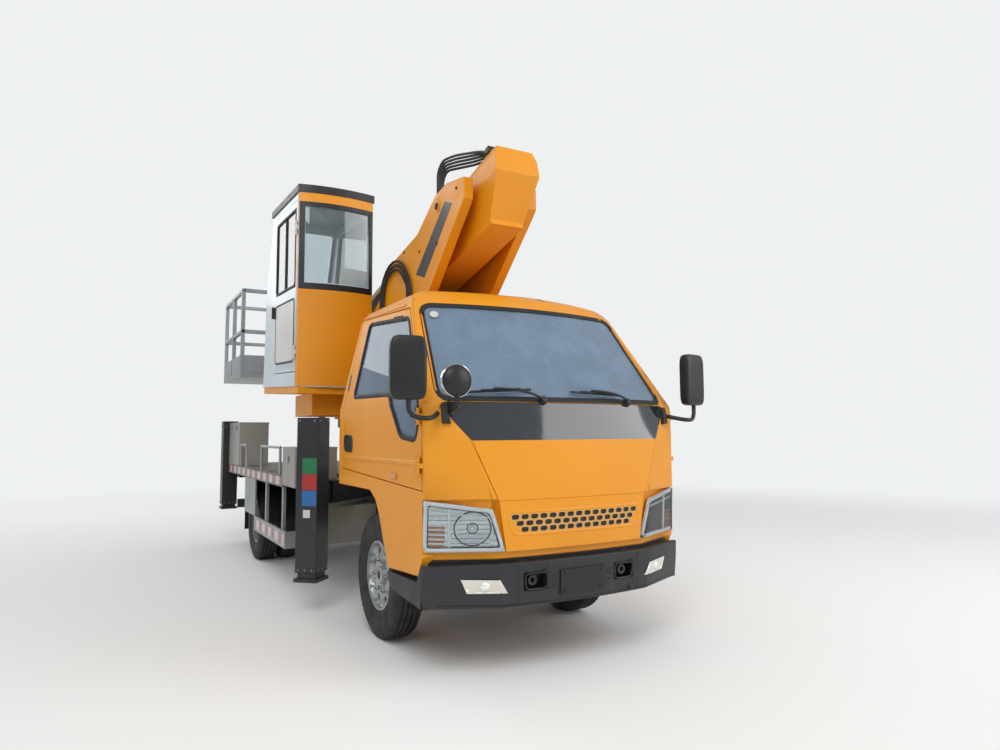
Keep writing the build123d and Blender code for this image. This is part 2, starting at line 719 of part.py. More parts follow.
for name, side in sides:
    with BuildPart() as front_beam:
        jack_tube(side, front_jack)
        diagonal(side, jack_side / 2 - 2, front_beam_length, front_beam_width, beam_low, beam_high)
        diagonal(side, front_beam_length - 80, front_beam_length,
                 front_beam_width + 2 * (running_gap - pad_gap), beam_low - running_gap + pad_gap,
                 beam_high + running_gap - pad_gap)
    save(front_beam, f"front_beam_{name}")
    with BuildPart() as front_leg:
        jack_leg(side, front_jack)
    save(front_leg, f"front_leg_{name}")
    y0, y1 = rear_beams[side]
    with BuildPart() as rear_beam:
        jack_tube(side, rear_jack)
        block(side * (jack_x - jack_side / 2 + 2), side * -700, y0 + running_gap, y1 - running_gap,
              beam_low, beam_high)
        block(side * -620, side * -700, y0 + pad_gap, y1 - pad_gap,
              beam_low - running_gap + pad_gap, beam_high + running_gap - pad_gap)
    save(rear_beam, f"rear_beam_{name}")
    with BuildPart() as rear_leg:
        jack_leg(side, rear_jack)
    save(rear_leg, f"rear_leg_{name}")

# Pedestal and slew ring on the deck, and the boom rest
with BuildPart() as pedestal:
    bar((0, turn_y, deck_top), (0, turn_y, platform_low - 80), ring_radius - 60)
    bar((0, turn_y, platform_low - 80), (0, turn_y, platform_low - fit), ring_radius)
    bar((0, 4200, deck_top), (0, 4200, 1560), 40)
    block(-160, 160, 4160, 4240, 1550, 1570)
save(pedestal, "pedestal")

# Boom places: u runs along the boom from the pivot, v is square to it and up
slope = radians(boom_slope)


def boom_place(u, v):
    """The (y, z) of a place on the stowed boom."""
    return pivot_y + u * cos(slope) + v * sin(slope), pivot_z - u * sin(slope) + v * cos(slope)


boom_plane_dir = (0, cos(slope), -sin(slope))
boom_high = boom_over
boom_low = -boom_under
boom_section = (
    (-boom_flat, boom_high), (-boom_half, boom_high - 95), (-boom_half, boom_high - 210),
    (-boom_flat, boom_low), (boom_flat, boom_low), (boom_half, boom_high - 210),
    (boom_half, boom_high - 95), (boom_flat, boom_high),
)


def boom_tube(u0, u1, inset, mode=Mode.ADD):
    """The boom's section drawn in by an inset and carried from u0 to u1."""
    y, z = boom_place(u0, 0)
    start = Plane(origin=(0, behind(y), z), x_dir=(1, 0, 0), z_dir=boom_plane_dir)
    with BuildSketch(start) as section:
        with BuildLine():
            Polyline(*[(x, -v) for x, v in boom_section], close=True)
        make_face()
        if inset:
            offset(amount=-inset, kind=Kind.INTERSECTION, mode=Mode.REPLACE)
    extrude(section.sketch, amount=u1 - u0, mode=mode)


def boom_side(points, x0, x1, mode=Mode.ADD):
    """A prism from x0 to x1 with its outline in boom places (u, v)."""
    side_prism([boom_place(u, v) for u, v in points], x0, x1, mode=mode)


def boom_seams(u0, u1, inset):
    """The weld seams that part a tube's top and bottom plates from its side plates."""
    for side_name, side in sides:
        seam = side * (boom_flat - inset)
        boom_side(((u0, boom_high + 20), (u1, boom_high + 20), (u1, boom_low - 20), (u0, boom_low - 20)),
                  seam - fit / 2, seam + fit / 2, mode=Mode.SUBTRACT)


def cabin_z(y, z):
    """A height of the cabin's front, raised with its tilt to a place behind."""
    return z + (y - cabin_front) * cabin_tilt


# Turntable with its platform, column plates, cabin bracket and lift pin
column = (
    (-262.0, 3005.0), (-262.0, 2862.0), (-228.0, 2825.0), (307.0, 2337.0), (1253.0, 1650.0), (1560.0, 1490.0),
    (2380.0, 1490.0), (2420.0, 1700.0), (1900.0, 2120.0), (1280.0, 2499.0), (1137.0, 2688.0),
    (863.0, 2746.0), (537.0, 2810.0), (203.0, 3012.0), (12.0, 3047.0),
)
pivot_radius = 40.0
lift_pin_radius = 28.0
eye_gap = 5.5
plate_outer = plate_inner + plate_depth
with BuildPart() as turntable:
    bar((0, turn_y, platform_low), (0, turn_y, 1490), ring_radius + 30)
    block(-plate_outer, plate_outer, 1450, 2400, 1450, 1490)
    for name, side in sides:
        side_prism(column, side * plate_inner, side * plate_outer)
    block(-plate_inner, plate_inner, 1700, 2360, 1490, 1800)
    side_prism(
        [(y, cabin_z(y, z)) for y, z in (
            (1515, cabin_floor - base_depth), (1515, cabin_floor - fit),
            (2900, cabin_floor - fit), (2900, cabin_floor - base_depth))],
        cabin_out + 10, -plate_outer,
    )
    block(cabin_out + 180, -plate_outer, 1700, 2300, 1450, cabin_floor - base_depth + 20)
    bar((-plate_outer, lift_base_y, lift_base_z), (plate_outer, lift_base_y, lift_base_z), lift_pin_radius)
    bar((-plate_outer - 8, pivot_y, pivot_z), (plate_outer + 8, pivot_y, pivot_z), pivot_radius)
save(turntable, "turntable")

# Boom base section with its tail cap, pivot bosses and cylinder lugs
eye_v = -lift_eye_drop
lug = ((lift_eye_s - 130, boom_low - fit), (lift_eye_s - 60, eye_v - 55), (lift_eye_s + 60, eye_v - 55),
       (lift_eye_s + 130, boom_low - fit))
lug_in, lug_out = 42.0, 70.0
tail_end = -tail_reach - 60
tail_cap = (
    (tail_end + 100, boom_high + 2), (tail_end + 6, boom_high - 28), (tail_end, boom_high - 214),
    (tail_end + 224, boom_low + 33), (tail_end + 208, boom_low + 26), (tail_end + 220, boom_low - 2),
    (-900, boom_low - 2), (-900, boom_high + 2),
)
tail_wall = 60.0
with BuildPart() as boom_base:
    boom_tube(tail_end, boom_length - tail_reach, 0)
    boom_tube(tail_end + 224 + tail_wall, boom_length - tail_reach + 1, boom_wall, mode=Mode.SUBTRACT)
    boom_side(tail_cap, -boom_half - 5, boom_half + 5, mode=Mode.SUBTRACT)
    boom_seams(tail_end + 224 + tail_wall - fit / 2, boom_length - tail_reach + 1, boom_wall)
    boom_side(((tail_end + 224 + tail_wall - fit, boom_high + 20), (tail_end + 224 + tail_wall, boom_high + 20),
               (tail_end + 224 + tail_wall, boom_low - 20), (tail_end + 224 + tail_wall - fit, boom_low - 20)),
              -boom_half - 5, boom_half + 5, mode=Mode.SUBTRACT)
    for name, side in sides:
        bar((side * (boom_half + fit), pivot_y, pivot_z), (side * (plate_inner - 6), pivot_y, pivot_z), 90)
        boom_side(lug, side * lug_in, side * lug_out)
    bar((-plate_inner, pivot_y, pivot_z), (plate_inner, pivot_y, pivot_z), pivot_radius + fit,
        mode=Mode.SUBTRACT)
    eye_y, eye_z = boom_place(lift_eye_s, eye_v)
    for name, side in sides:
        bar((side * lug_in, eye_y, eye_z), (side * (lug_out + 6), eye_y, eye_z), lift_pin_radius)
save(boom_base, "boom_base")

# Three telescoping sections with slide pads, and the head of the last one
stages = (("boom_stage_2", 1, 60.0), ("boom_stage_3", 2, 120.0), ("boom_tip", 3, 180.0))
stage_start = 260.0
pad_length = 120.0
head_u, head_v = 4660.0, 60.0
head_y, head_z = boom_place(head_u, head_v)
head_radius = 30.0
bucket_reach = 340.0
tip_roof = boom_high - 3 * (boom_wall + stage_gap) - boom_wall - fit
cheek = ((4420, tip_roof), (4600, tip_roof), (4640, 100), (4700, 100), (4700, 10), (4560, -270), (4420, -270))
for name, number, stand_out in stages:
    inset = number * (boom_wall + stage_gap)
    u0 = stage_start + 40 * number
    u1 = boom_length - tail_reach + stand_out
    with BuildPart() as stage:
        boom_tube(u0, u1, inset)
        boom_tube(u0, u0 + pad_length, inset - stage_gap + pad_gap)
        boom_tube(u0 - 1, u1 + 1, inset + boom_wall, mode=Mode.SUBTRACT)
        boom_seams(u0 - 1, u1 + 1, inset + boom_wall)
        if name == "boom_tip":
            for side_name, side in sides:
                boom_side(cheek, side * 60, side * 76)
            bar((-bucket_reach, head_y, head_z), (100, head_y, head_z), head_radius)
    save(stage, name)

# Lift cylinder, drawn shut with its rod at the stowed boom's lugs
lift_run = Vector(0, eye_y - lift_base_y, eye_z - lift_base_z)
lift_length = lift_run.length
barrel_bore = 45.0
gland = 2358.0
rod_start = gland - 1174.0


def lift_place(distance):
    """The (y, z) of a place this far from the barrel's pin."""
    share = distance / lift_length
    return lift_base_y + share * lift_run.Y, lift_base_z + share * lift_run.Z


def lift_bar(start, end, radius, mode=Mode.ADD):
    """A round bar on the cylinder's line."""
    bar((0, *lift_place(start)), (0, *lift_place(end)), radius, mode=mode)


with BuildPart() as lift_barrel:
    bar((-plate_inner + running_gap, lift_base_y, lift_base_z),
        (plate_inner - running_gap, lift_base_y, lift_base_z), 55)
    lift_bar(0, gland, barrel_radius)
    lift_bar(gland - 90, gland, barrel_radius + 6)
    lift_bar(110, gland - 80, barrel_bore, mode=Mode.SUBTRACT)
    lift_bar(gland - 81, gland + 1, rod_radius + fit, mode=Mode.SUBTRACT)
    bar((-plate_inner, lift_base_y, lift_base_z), (plate_inner, lift_base_y, lift_base_z),
        lift_pin_radius + fit, mode=Mode.SUBTRACT)
save(lift_barrel, "lift_barrel")

with BuildPart() as lift_rod:
    lift_bar(rod_start, lift_length, rod_radius)
    lift_bar(rod_start, rod_start + 50, barrel_bore - pad_gap)
    bar((-lug_in + eye_gap, eye_y, eye_z), (lug_in - eye_gap, eye_y, eye_z), 50)
save(lift_rod, "lift_rod")

# Hydraulic hoses: five over the boom's tail and three on the column's right plate, between their fittings
hose_radius = 9.0


def hose(points, radius):
    """A hose through points (x, y, z) with arcs as large as its runs allow."""
    places = [Vector(x, behind(y), z) for x, y, z in points]
    radii = []
    for first, corner, last in zip(places, places[1:], places[2:]):
        turn = (corner - first).get_angle(last - corner)
        shorter = min((corner - first).length, (last - corner).length)
        radii.append(0.45 * shorter / tan(radians(turn / 2)))
    with BuildLine() as path:
        FilletPolyline(*places, radius=radii)
    with BuildSketch(Plane(origin=path.line @ 0, z_dir=path.line % 0)) as section:
        Circle(radius)
    sweep(section.sketch, path=path.line)
    return min(radii)


fitting_u = -505.0
fitting_y, fitting_z = boom_place(fitting_u, boom_high + 20)
gap_x = -(boom_half + plate_inner) / 2
hose_end = 3045.0
tail_hoses = 5
with BuildPart() as boom_hoses:
    boom_side(((fitting_u - 45, boom_high + fit), (fitting_u - 45, boom_high + 40), (fitting_u, boom_high + 40),
               (fitting_u, boom_high + fit)), -boom_flat - 15, -boom_flat + 95)
    block(-boom_half - fit, -plate_inner + running_gap + 3, 250, 390, hose_end - 30, hose_end)
    for index in range(tail_hoses):
        x = -boom_flat - 2 + 20 * index
        step = 24 * index
        tightest = hose((
            (x, fitting_y, fitting_z),
            (x - 2, -190, 3232 - 0.42 * step),
            (0.8 * x + 0.2 * gap_x, -30, 3276 - 0.75 * step),
            (0.45 * x + 0.55 * gap_x, 150, 3318 - 0.92 * step),
            (0.12 * x + 0.88 * gap_x, 300 - 0.6 * step, 3330 - step),
            (gap_x, 372 - step, 3262 - step),
            (gap_x, 372 - step, hose_end),
        ), hose_radius)
        print("boom hose", index, "tightest arc", round(tightest))
save(boom_hoses, "boom_hoses")

column_hose_x = -plate_outer - 18.0
with BuildPart() as column_hoses:
    for y0, y1 in ((1190, 1310), (600, 720)):
        block(column_hose_x - 14, -plate_outer - fit, y0, y1, 2290, 2330)
    for index in range(3):
        step = 34 * index
        tightest = hose((
            (column_hose_x, 1290 - step, 2330),
            (column_hose_x, 1290 - step, 2440),
            (column_hose_x - 3, 1240 - 0.9 * step, 2570 - 0.4 * step),
            (column_hose_x - 6, 1110 - 0.5 * step, 2665 - step),
            (column_hose_x - 6, 945, 2695 - step),
            (column_hose_x - 4, 790 + 0.5 * step, 2640 - step),
            (column_hose_x - 2, 690 + 0.9 * step, 2540 - 0.5 * step),
            (column_hose_x, 622 + step, 2430),
            (column_hose_x, 620 + step, 2330),
        ), hose_radius + 1)
        print("column hose", index, "tightest arc", round(tightest))
save(column_hoses, "column_hoses")

# Operator's cabin
cabin_mid = (cabin_in + cabin_out) / 2


cabin_side = tuple(
    (y, cabin_z(y, z)) for y, z in (
        (cabin_nose - 20, cabin_floor), (cabin_nose - 20, cabin_top), (2560.0, cabin_top),
        (2805.0, 2750.0), (2915.0, cabin_floor),
    )
)
operator_leaf = tuple(
    (y, cabin_z(y, z)) for y, z in ((1580.0, 1810.0), (1580.0, 3290.0), (2440.0, 3290.0), (2440.0, 1810.0))
)
operator_window = tuple(
    (y, cabin_z(y, z)) for y, z in ((1620.0, 2535.0), (1620.0, 3230.0), (2385.0, 3230.0), (2385.0, 2535.0))
)
side_window = tuple(
    (y, cabin_z(y, z)) for y, z in ((1620.0, 2535.0), (1620.0, 3230.0), (2450.0, 3230.0), (2620.0, 2535.0))
)
front_window = ((-898.0, 2570.0), (-330.0, 2570.0), (-330.0, 3240.0), (-898.0, 3240.0))
back_window = ((-890.0, 2700.0), (-360.0, 2700.0), (-360.0, 3300.0), (-890.0, 3300.0))


roof_lip = 12.0
roof_side = tuple(
    (y, cabin_z(y, z)) for y, z in (
        (cabin_nose - 40, cabin_top), (cabin_nose - 40, cabin_top + roof_depth),
        (2600, cabin_top + roof_depth), (2600, cabin_top))
)


def cabin_form(inset, outline=cabin_side, shrink=True):
    """The cabin's outer form under a side outline, drawn in by an inset."""
    with BuildPart() as form:
        with BuildSketch(Plane.XY.offset(cabin_floor - 100)) as plan:
            with BuildLine():
                Polyline(
                    (cabin_out, behind(cabin_front)), (cabin_out, behind(3000)),
                    (cabin_in, behind(3000)), (cabin_in, behind(cabin_front)),
                )
                ThreePointArc(
                    (cabin_in, behind(cabin_front)), (cabin_mid, behind(cabin_nose)),
                    (cabin_out, behind(cabin_front)),
                )
            make_face()
            if inset:
                offset(amount=-inset, kind=Kind.INTERSECTION, mode=Mode.REPLACE)
        extrude(plan.sketch, amount=cabin_top - cabin_floor + 300)
        side_prism(outline, cabin_out - 50, cabin_in + 50, mode=Mode.INTERSECT, grow=-inset if shrink else 0.0)
    return form.part


operator_hinge_x = cabin_out - 12
operator_hinge_y = 1568.0
operator_hinges = (1975.0, 3040.0)
with BuildPart() as operator_cabin:
    add(cabin_form(0))
    add(cabin_form(cabin_wall), mode=Mode.SUBTRACT)
    side_prism(operator_leaf, cabin_out - 50, cabin_out + 80, mode=Mode.SUBTRACT, grow=door_gap / 2)
    side_prism(side_window, cabin_in - 80, cabin_in + 50, mode=Mode.SUBTRACT)
    front_prism(front_window, 1400, 1640, mode=Mode.SUBTRACT, corner=25)
    front_prism(back_window, 2450, 3000, mode=Mode.SUBTRACT, corner=25)
    add(cabin_form(-roof_lip, roof_side, False))
    for z in operator_hinges:
        block(operator_hinge_x - 4, cabin_out + 10, 1540, operator_hinge_y, z - 18, z + 18)
        bar((operator_hinge_x, operator_hinge_y, z - 20), (operator_hinge_x, operator_hinge_y, z + 20), 9)
        bar((operator_hinge_x, operator_hinge_y, z - 55), (operator_hinge_x, operator_hinge_y, z + 55), 5)
save(operator_cabin, "operator_cabin")

with BuildPart() as operator_layer:
    add(cabin_form(glass_out))
    add(cabin_form(glass_in), mode=Mode.SUBTRACT)
with BuildPart() as front_pane:
    add(operator_layer.part)
    front_prism(front_window, 1400, 1640, mode=Mode.INTERSECT, grow=-fit, corner=25)
with BuildPart() as back_pane:
    add(operator_layer.part)
    front_prism(back_window, 2450, 3000, mode=Mode.INTERSECT, grow=-fit, corner=25)
with BuildPart() as side_pane:
    add(operator_layer.part)
    side_prism(side_window, cabin_in - 80, cabin_in + 50, mode=Mode.INTERSECT, grow=-fit)
with BuildPart() as operator_glass:
    add(front_pane.part)
    add(back_pane.part)
    add(side_pane.part)
save(operator_glass, "operator_glass")

with BuildPart() as operator_door:
    add(cabin_form(0))
    add(cabin_form(cabin_wall), mode=Mode.SUBTRACT)
    side_prism(operator_leaf, cabin_out - 50, cabin_out + 80, mode=Mode.INTERSECT, grow=-door_gap / 2)
    side_prism(operator_window, cabin_out - 50, cabin_out + 80, mode=Mode.SUBTRACT)
    for z in operator_hinges:
        for low in (z - 55, z + 20 + fit):
            high = low + 35 - fit
            bar((operator_hinge_x, operator_hinge_y, low), (operator_hinge_x, operator_hinge_y, high), 9)
            block(operator_hinge_x - 4, cabin_out - 2, operator_hinge_y, 1610, low, high)
            block(operator_hinge_x - 4, cabin_out + 4, 1590, 1610, low, high)
            bar((operator_hinge_x, operator_hinge_y, low - 1), (operator_hinge_x, operator_hinge_y, high + 1),
                5 + fit, mode=Mode.SUBTRACT)
save(operator_door, "operator_door")

with BuildPart() as operator_door_glass:
    add(operator_layer.part)
    side_prism(operator_window, cabin_out - 50, cabin_out + 80, mode=Mode.INTERSECT, grow=-fit)
save(operator_door_glass, "operator_door_glass")

seat_floor = cabin_floor + cabin_wall + fit
seat_base = ((2100.0, cabin_z(2100, seat_floor)), (2100.0, 2080.0), (2500.0, 2080.0),
             (2500.0, cabin_z(2500, seat_floor)))
operator_back = ((2480.0, 2180.0), (2580.0, 2760.0), (2660.0, 2760.0), (2600.0, 2080.0), (2480.0, 2080.0))
with BuildPart() as operator_seat:
    side_prism(seat_base, cabin_mid - 180, cabin_mid + 180)
    block(cabin_mid - 240, cabin_mid + 240, 2020, 2500, 2080, 2180)
    side_prism(operator_back, cabin_mid - 230, cabin_mid + 230)
    for side_name, side in sides:
        block(cabin_mid + side * 230, cabin_mid + side * 270, 2050, 2420, 2080, 2300)
        bar((cabin_mid + side * 250, 2110, 2300), (cabin_mid + side * 250, 2090, 2400), 16)
save(operator_seat, "operator_seat")

# Work bucket of butted members: floor, tread plate, kick plates, posts, rails and the boom head's bracket
tube = 40.0
bucket_middle = 2400.0
kick_high = 240.0
kick_wall = 4.0
floor_depth = 50.0
post_y = (bucket_front, (bucket_front + bucket_rear - tube) / 2, bucket_rear - tube)
floor_top = bucket_floor + floor_depth - load_plate
with BuildPart() as bucket:
    block(bucket_out, bucket_in, bucket_front, bucket_rear, bucket_floor, floor_top)
    block(bucket_out + tube + fit, bucket_in - tube - fit, bucket_front + tube + fit, bucket_rear - tube - fit,
          floor_top + fit, floor_top + load_plate)
    for x in (bucket_out, bucket_in - tube):
        for y in post_y:
            block(x, x + tube, y, y + tube, floor_top + fit, bucket_top - tube - fit)
        for y0, y1 in zip(post_y, post_y[1:]):
            block(x, x + tube, y0 + tube + fit, y1 - fit, bucket_middle, bucket_middle + tube)
        block(x, x + tube, bucket_front, bucket_rear, bucket_top - tube, bucket_top)
    for x in (bucket_out, bucket_in - kick_wall):
        for y0, y1 in zip(post_y, post_y[1:]):
            block(x, x + kick_wall, y0 + tube + fit, y1 - fit, floor_top + fit, bucket_floor + kick_high)
    for y, kick_y in ((bucket_front, bucket_front), (bucket_rear - tube, bucket_rear - kick_wall)):
        across = (bucket_out + tube + fit, bucket_in - tube - fit)
        block(*across, kick_y, kick_y + kick_wall, floor_top + fit, bucket_floor + kick_high)
        for z in (bucket_middle, bucket_top - tube):
            block(*across, y, y + tube, z, z + tube)
    bar((bucket_in + fit, head_y, head_z), (-137, head_y, head_z), 80)
    block(bucket_in + fit, bucket_in + 30, head_y - 150, head_y + 120, head_z - 40, bucket_floor + kick_high)
    bar((bucket_in - 60, head_y, head_z), (-130, head_y, head_z), head_radius + fit, mode=Mode.SUBTRACT)
save(bucket, "bucket")
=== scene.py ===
"""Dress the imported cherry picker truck: finishes, glass, trim, tyres, camera and light.

The frame holds every piece at its real size and place. Each class below is one sub-assembly of the
machine. It takes its places from the frame, builds the detail that the solids leave out and gives
every surface its finish. Sizes are in millimetres unless a docstring says metres. Meshes are in metres.
"""
from __future__ import annotations

import json
import logging
from dataclasses import dataclass
from enum import Enum
from functools import cache
from math import radians
from typing import Callable, Sequence

import bmesh
import bpy
import numpy as np
from mathutils import Matrix, Vector

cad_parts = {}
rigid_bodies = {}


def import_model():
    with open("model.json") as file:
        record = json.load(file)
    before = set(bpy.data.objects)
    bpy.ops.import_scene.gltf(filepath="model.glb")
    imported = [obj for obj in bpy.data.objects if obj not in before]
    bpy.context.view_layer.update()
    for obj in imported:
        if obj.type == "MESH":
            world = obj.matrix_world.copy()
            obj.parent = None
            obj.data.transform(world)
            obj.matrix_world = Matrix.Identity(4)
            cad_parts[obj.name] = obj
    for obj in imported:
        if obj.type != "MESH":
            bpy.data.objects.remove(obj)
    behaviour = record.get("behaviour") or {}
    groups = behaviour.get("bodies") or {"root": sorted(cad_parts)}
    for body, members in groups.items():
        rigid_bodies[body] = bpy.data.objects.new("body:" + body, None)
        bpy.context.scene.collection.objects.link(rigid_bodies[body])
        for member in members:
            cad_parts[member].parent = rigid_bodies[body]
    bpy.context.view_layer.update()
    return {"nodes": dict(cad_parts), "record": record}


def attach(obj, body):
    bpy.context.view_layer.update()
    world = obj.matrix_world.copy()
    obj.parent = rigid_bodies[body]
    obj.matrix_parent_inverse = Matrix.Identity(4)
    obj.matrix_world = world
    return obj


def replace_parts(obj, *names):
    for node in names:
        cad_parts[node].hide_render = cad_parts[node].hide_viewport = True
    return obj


LOG = logging.getLogger("lift_truck")
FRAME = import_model()
FRONT_OVERHANG_MM = 1150.0
LENGTH_MM = 5995.0
MM = 0.001
# How close a turned profile comes to its axis, so that its pole closes without a double point
POLE_MM = 0.1
# How far a thin label lies off the plate that it is stuck on, and how thick it is
LABEL_LIFT_MM = 0.2
LABEL_MM = 0.8

Socket = bpy.types.NodeSocket
Tree = bpy.types.NodeTree
Outline = Sequence[tuple[float, float]]
# Points on a skin with the outward normals there, and what finds them from flat places
Hits = tuple[np.ndarray, np.ndarray]
Spot = Callable[[np.ndarray], Hits]


class Side(Enum):
    """The two sides of the machine, with their sign on the X axis."""

    RIGHT = -1
    LEFT = 1

    def __str__(self) -> str:
        """The side's name as the frame's nodes spell it."""
        return self.name.lower()

    @property
    def way(self) -> np.ndarray:
        """The direction out of this side."""
        return np.array([self.value, 0.0, 0.0])


def behind(distance_mm: float | np.ndarray) -> float | np.ndarray:
    """Y in metres of a place, or an array of places, this far behind the front axle."""
    return (FRONT_OVERHANG_MM - LENGTH_MM / 2 + distance_mm) * MM


def place(x_mm: float, y_mm: float, z_mm: float) -> np.ndarray:
    """The point in metres that lies this far to the vehicle's left, behind the front axle and up."""
    return np.array([x_mm * MM, behind(y_mm), z_mm * MM])


def oblong(x0: float, x1: float, z0: float, z1: float) -> tuple:
    """The four corners of an upright rectangle, in order round it."""
    return (x0, z0), (x1, z0), (x1, z1), (x0, z1)


# Materials


def linear(hex_code: str) -> tuple[float, float, float, float]:
    """Turn an sRGB hex code into a linear colour.

    Args:
        hex_code: Six hex digits after a hash sign.

    Returns:
        Red, green, blue and an alpha of 1.
    """
    values = np.array([int(hex_code[i:i + 2], 16) for i in (1, 3, 5)]) / 255.0
    red, green, blue = np.where(values <= 0.04045, values / 12.92, ((values + 0.055) / 1.055) ** 2.4)
    return float(red), float(green), float(blue), 1.0


def per_metre(size_mm: float) -> float:
    """The texture scale whose features are this many millimetres apart."""
    return 1000.0 / size_mm


def add_node(tree: Tree, kind: str, settings: dict | None = None,
             links: dict | None = None) -> bpy.types.Node:
    """Add a shader node with its settings and links.

    Args:
        tree: The node tree that gets the node.
        kind: The node's type name after ShaderNode.
        settings: Input values by socket name or number, or attributes by name.
        links: Output sockets by the name or number of the input that they feed.

    Returns:
        The new node.
    """
    node = tree.nodes.new(f"ShaderNode{kind}")
    for key, value in (settings or {}).items():
        if isinstance(key, int) or key in node.inputs:
            node.inputs[key].default_value = value
        else:
            setattr(node, key, value)
    for key, source in (links or {}).items():
        tree.links.new(source, node.inputs[key])
    return node


def soft_pattern(tree: Tree, spot: Socket, size_mm: float, detail: float, low: float,
                 high: float) -> Socket:
    """A cloudy pattern between two values: noise, its middle part stretched over the whole range.

    Args:
        tree: The node tree that gets the pattern.
        spot: The place on the surface.
        size_mm: How wide one cloud is.
        detail: How much finer grain the clouds hold.
        low: The pattern's lowest value.
        high: The pattern's highest value.

    Returns:
        The pattern's value.
    """
    noise = add_node(tree, "TexNoise", {"Scale": per_metre(size_mm), "Detail": detail},
                     {"Vector": spot})
    spread = add_node(tree, "MapRange",
                      {"From Min": 0.3, "From Max": 0.7, "To Min": low, "To Max": high},
                      {"Value": noise.outputs["Fac"]})
    return spread.outputs["Result"]


def moulded_grain(tree: Tree, spot: Socket, size_mm: float, strength: float, detail: float) -> Socket:
    """The fine uneven texture that a mould, a brush or a spray gun leaves, as a normal.

    Args:
        tree: The node tree that gets the grain.
        spot: The place on the surface.
        size_mm: How far apart its features are.
        strength: How strongly they stand.
        detail: How much finer grain they hold.

    Returns:
        The bumped normal.
    """
    noise = add_node(tree, "TexNoise", {"Scale": per_metre(size_mm), "Detail": detail},
                     {"Vector": spot})
    bump = add_node(tree, "Bump", {"Strength": strength, "Distance": MM},
                    {"Height": noise.outputs["Fac"]})
    return bump.outputs["Normal"]


def mirroring_pane(tree: Tree, colour: str, ior: float, roughness: float) -> Socket:
    """A clear pane that mirrors more towards its rim, as Fresnel's law says.

    Args:
        tree: The node tree that gets the pane.
        colour: The tint of what is seen through it.
        ior: Its index of refraction.
        roughness: How blurred its reflections are.

    Returns:
        The pane's shader.
    """
    clear = add_node(tree, "BsdfTransparent", {"Color": linear(colour)})
    gloss = add_node(tree, "BsdfGlossy", {"Color": linear("#FFFFFF"), "Roughness": roughness})
    rim = add_node(tree, "Fresnel", {"IOR": ior})
    pane = add_node(tree, "MixShader",
                    links={0: rim.outputs[0], 1: clear.outputs[0], 2: gloss.outputs[0]})
    return pane.outputs[0]


@dataclass(frozen=True)
class Finish:
    """What a surface is made of. Each kind of finish says how its shader is built."""

    name: str

    def shader(self, tree: Tree, spot: Socket) -> Socket:
        """Build the shader from the place on the surface."""
        raise NotImplementedError(self.name)

    def build(self) -> bpy.types.Material:
        """Build the material, with its pattern in the piece's own coordinates.

        Returns:
            The material.
        """
        material = bpy.data.materials.new(self.name)
        material.use_nodes = True
        tree = material.node_tree
        tree.nodes.clear()
        spot = add_node(tree, "TexCoord").outputs["Object"]
        add_node(tree, "OutputMaterial", links={"Surface": self.shader(tree, spot)})
        return material


@dataclass(frozen=True)
class Coating(Finish):
    """A solid surface: paint, plastic, rubber or bare metal, with its grain, fading and dust.

    colour and shade are the two tones that clouds of cloud_mm mix, grain_mm is the spacing of the
    surface's own texture and grain_depth how strongly it stands, and dust is how much pale dust lies
    at the foot of the machine. It thins out up to dust_top_mm.
    """

    colour: str
    shade: str
    roughness: float
    metallic: float = 0.0
    coat: float = 0.0
    grain_mm: float = 4.0
    grain_depth: float = 0.0
    cloud_mm: float = 600.0
    dust: float = 0.0
    dust_top_mm: float = 900.0

    def shader(self, tree: Tree, spot: Socket) -> Socket:
        """Mix the tones, lay dust over them and add uneven gloss and grain.

        Args:
            tree: The material's nodes.
            spot: The place on the surface.

        Returns:
            The shader.
        """
        clouds = soft_pattern(tree, spot, self.cloud_mm, 4, 0, 1)
        tone = add_node(tree, "Mix",
                        {"data_type": "RGBA", 6: linear(self.colour), 7: linear(self.shade)},
                        {0: clouds}).outputs[2]
        if self.dust:
            height = add_node(tree, "SeparateXYZ", links={0: spot}).outputs["Z"]
            fall = add_node(tree, "MapRange",
                            {"From Min": 0.15, "From Max": self.dust_top_mm * MM, "To Min": self.dust,
                             "To Max": 0}, {"Value": height}).outputs["Result"]
            blotches = soft_pattern(tree, spot, 90, 6, 0.25, 1)
            amount = add_node(tree, "Math", {"operation": "MULTIPLY"}, {0: fall, 1: blotches})
            tone = add_node(tree, "Mix", {"data_type": "RGBA", 7: linear("#8A8278")},
                            {0: amount.outputs[0], 6: tone}).outputs[2]
        rough = soft_pattern(tree, spot, 140, 3, max(self.roughness - 0.05, 0.03),
                             min(self.roughness + 0.07, 1))
        grain = moulded_grain(tree, spot, self.grain_mm, self.grain_depth, 2)
        return add_node(tree, "BsdfPrincipled",
                        {"Metallic": self.metallic, "Coat Weight": self.coat, "Coat Roughness": 0.06},
                        {"Base Color": tone, "Roughness": rough, "Normal": grain}).outputs[0]


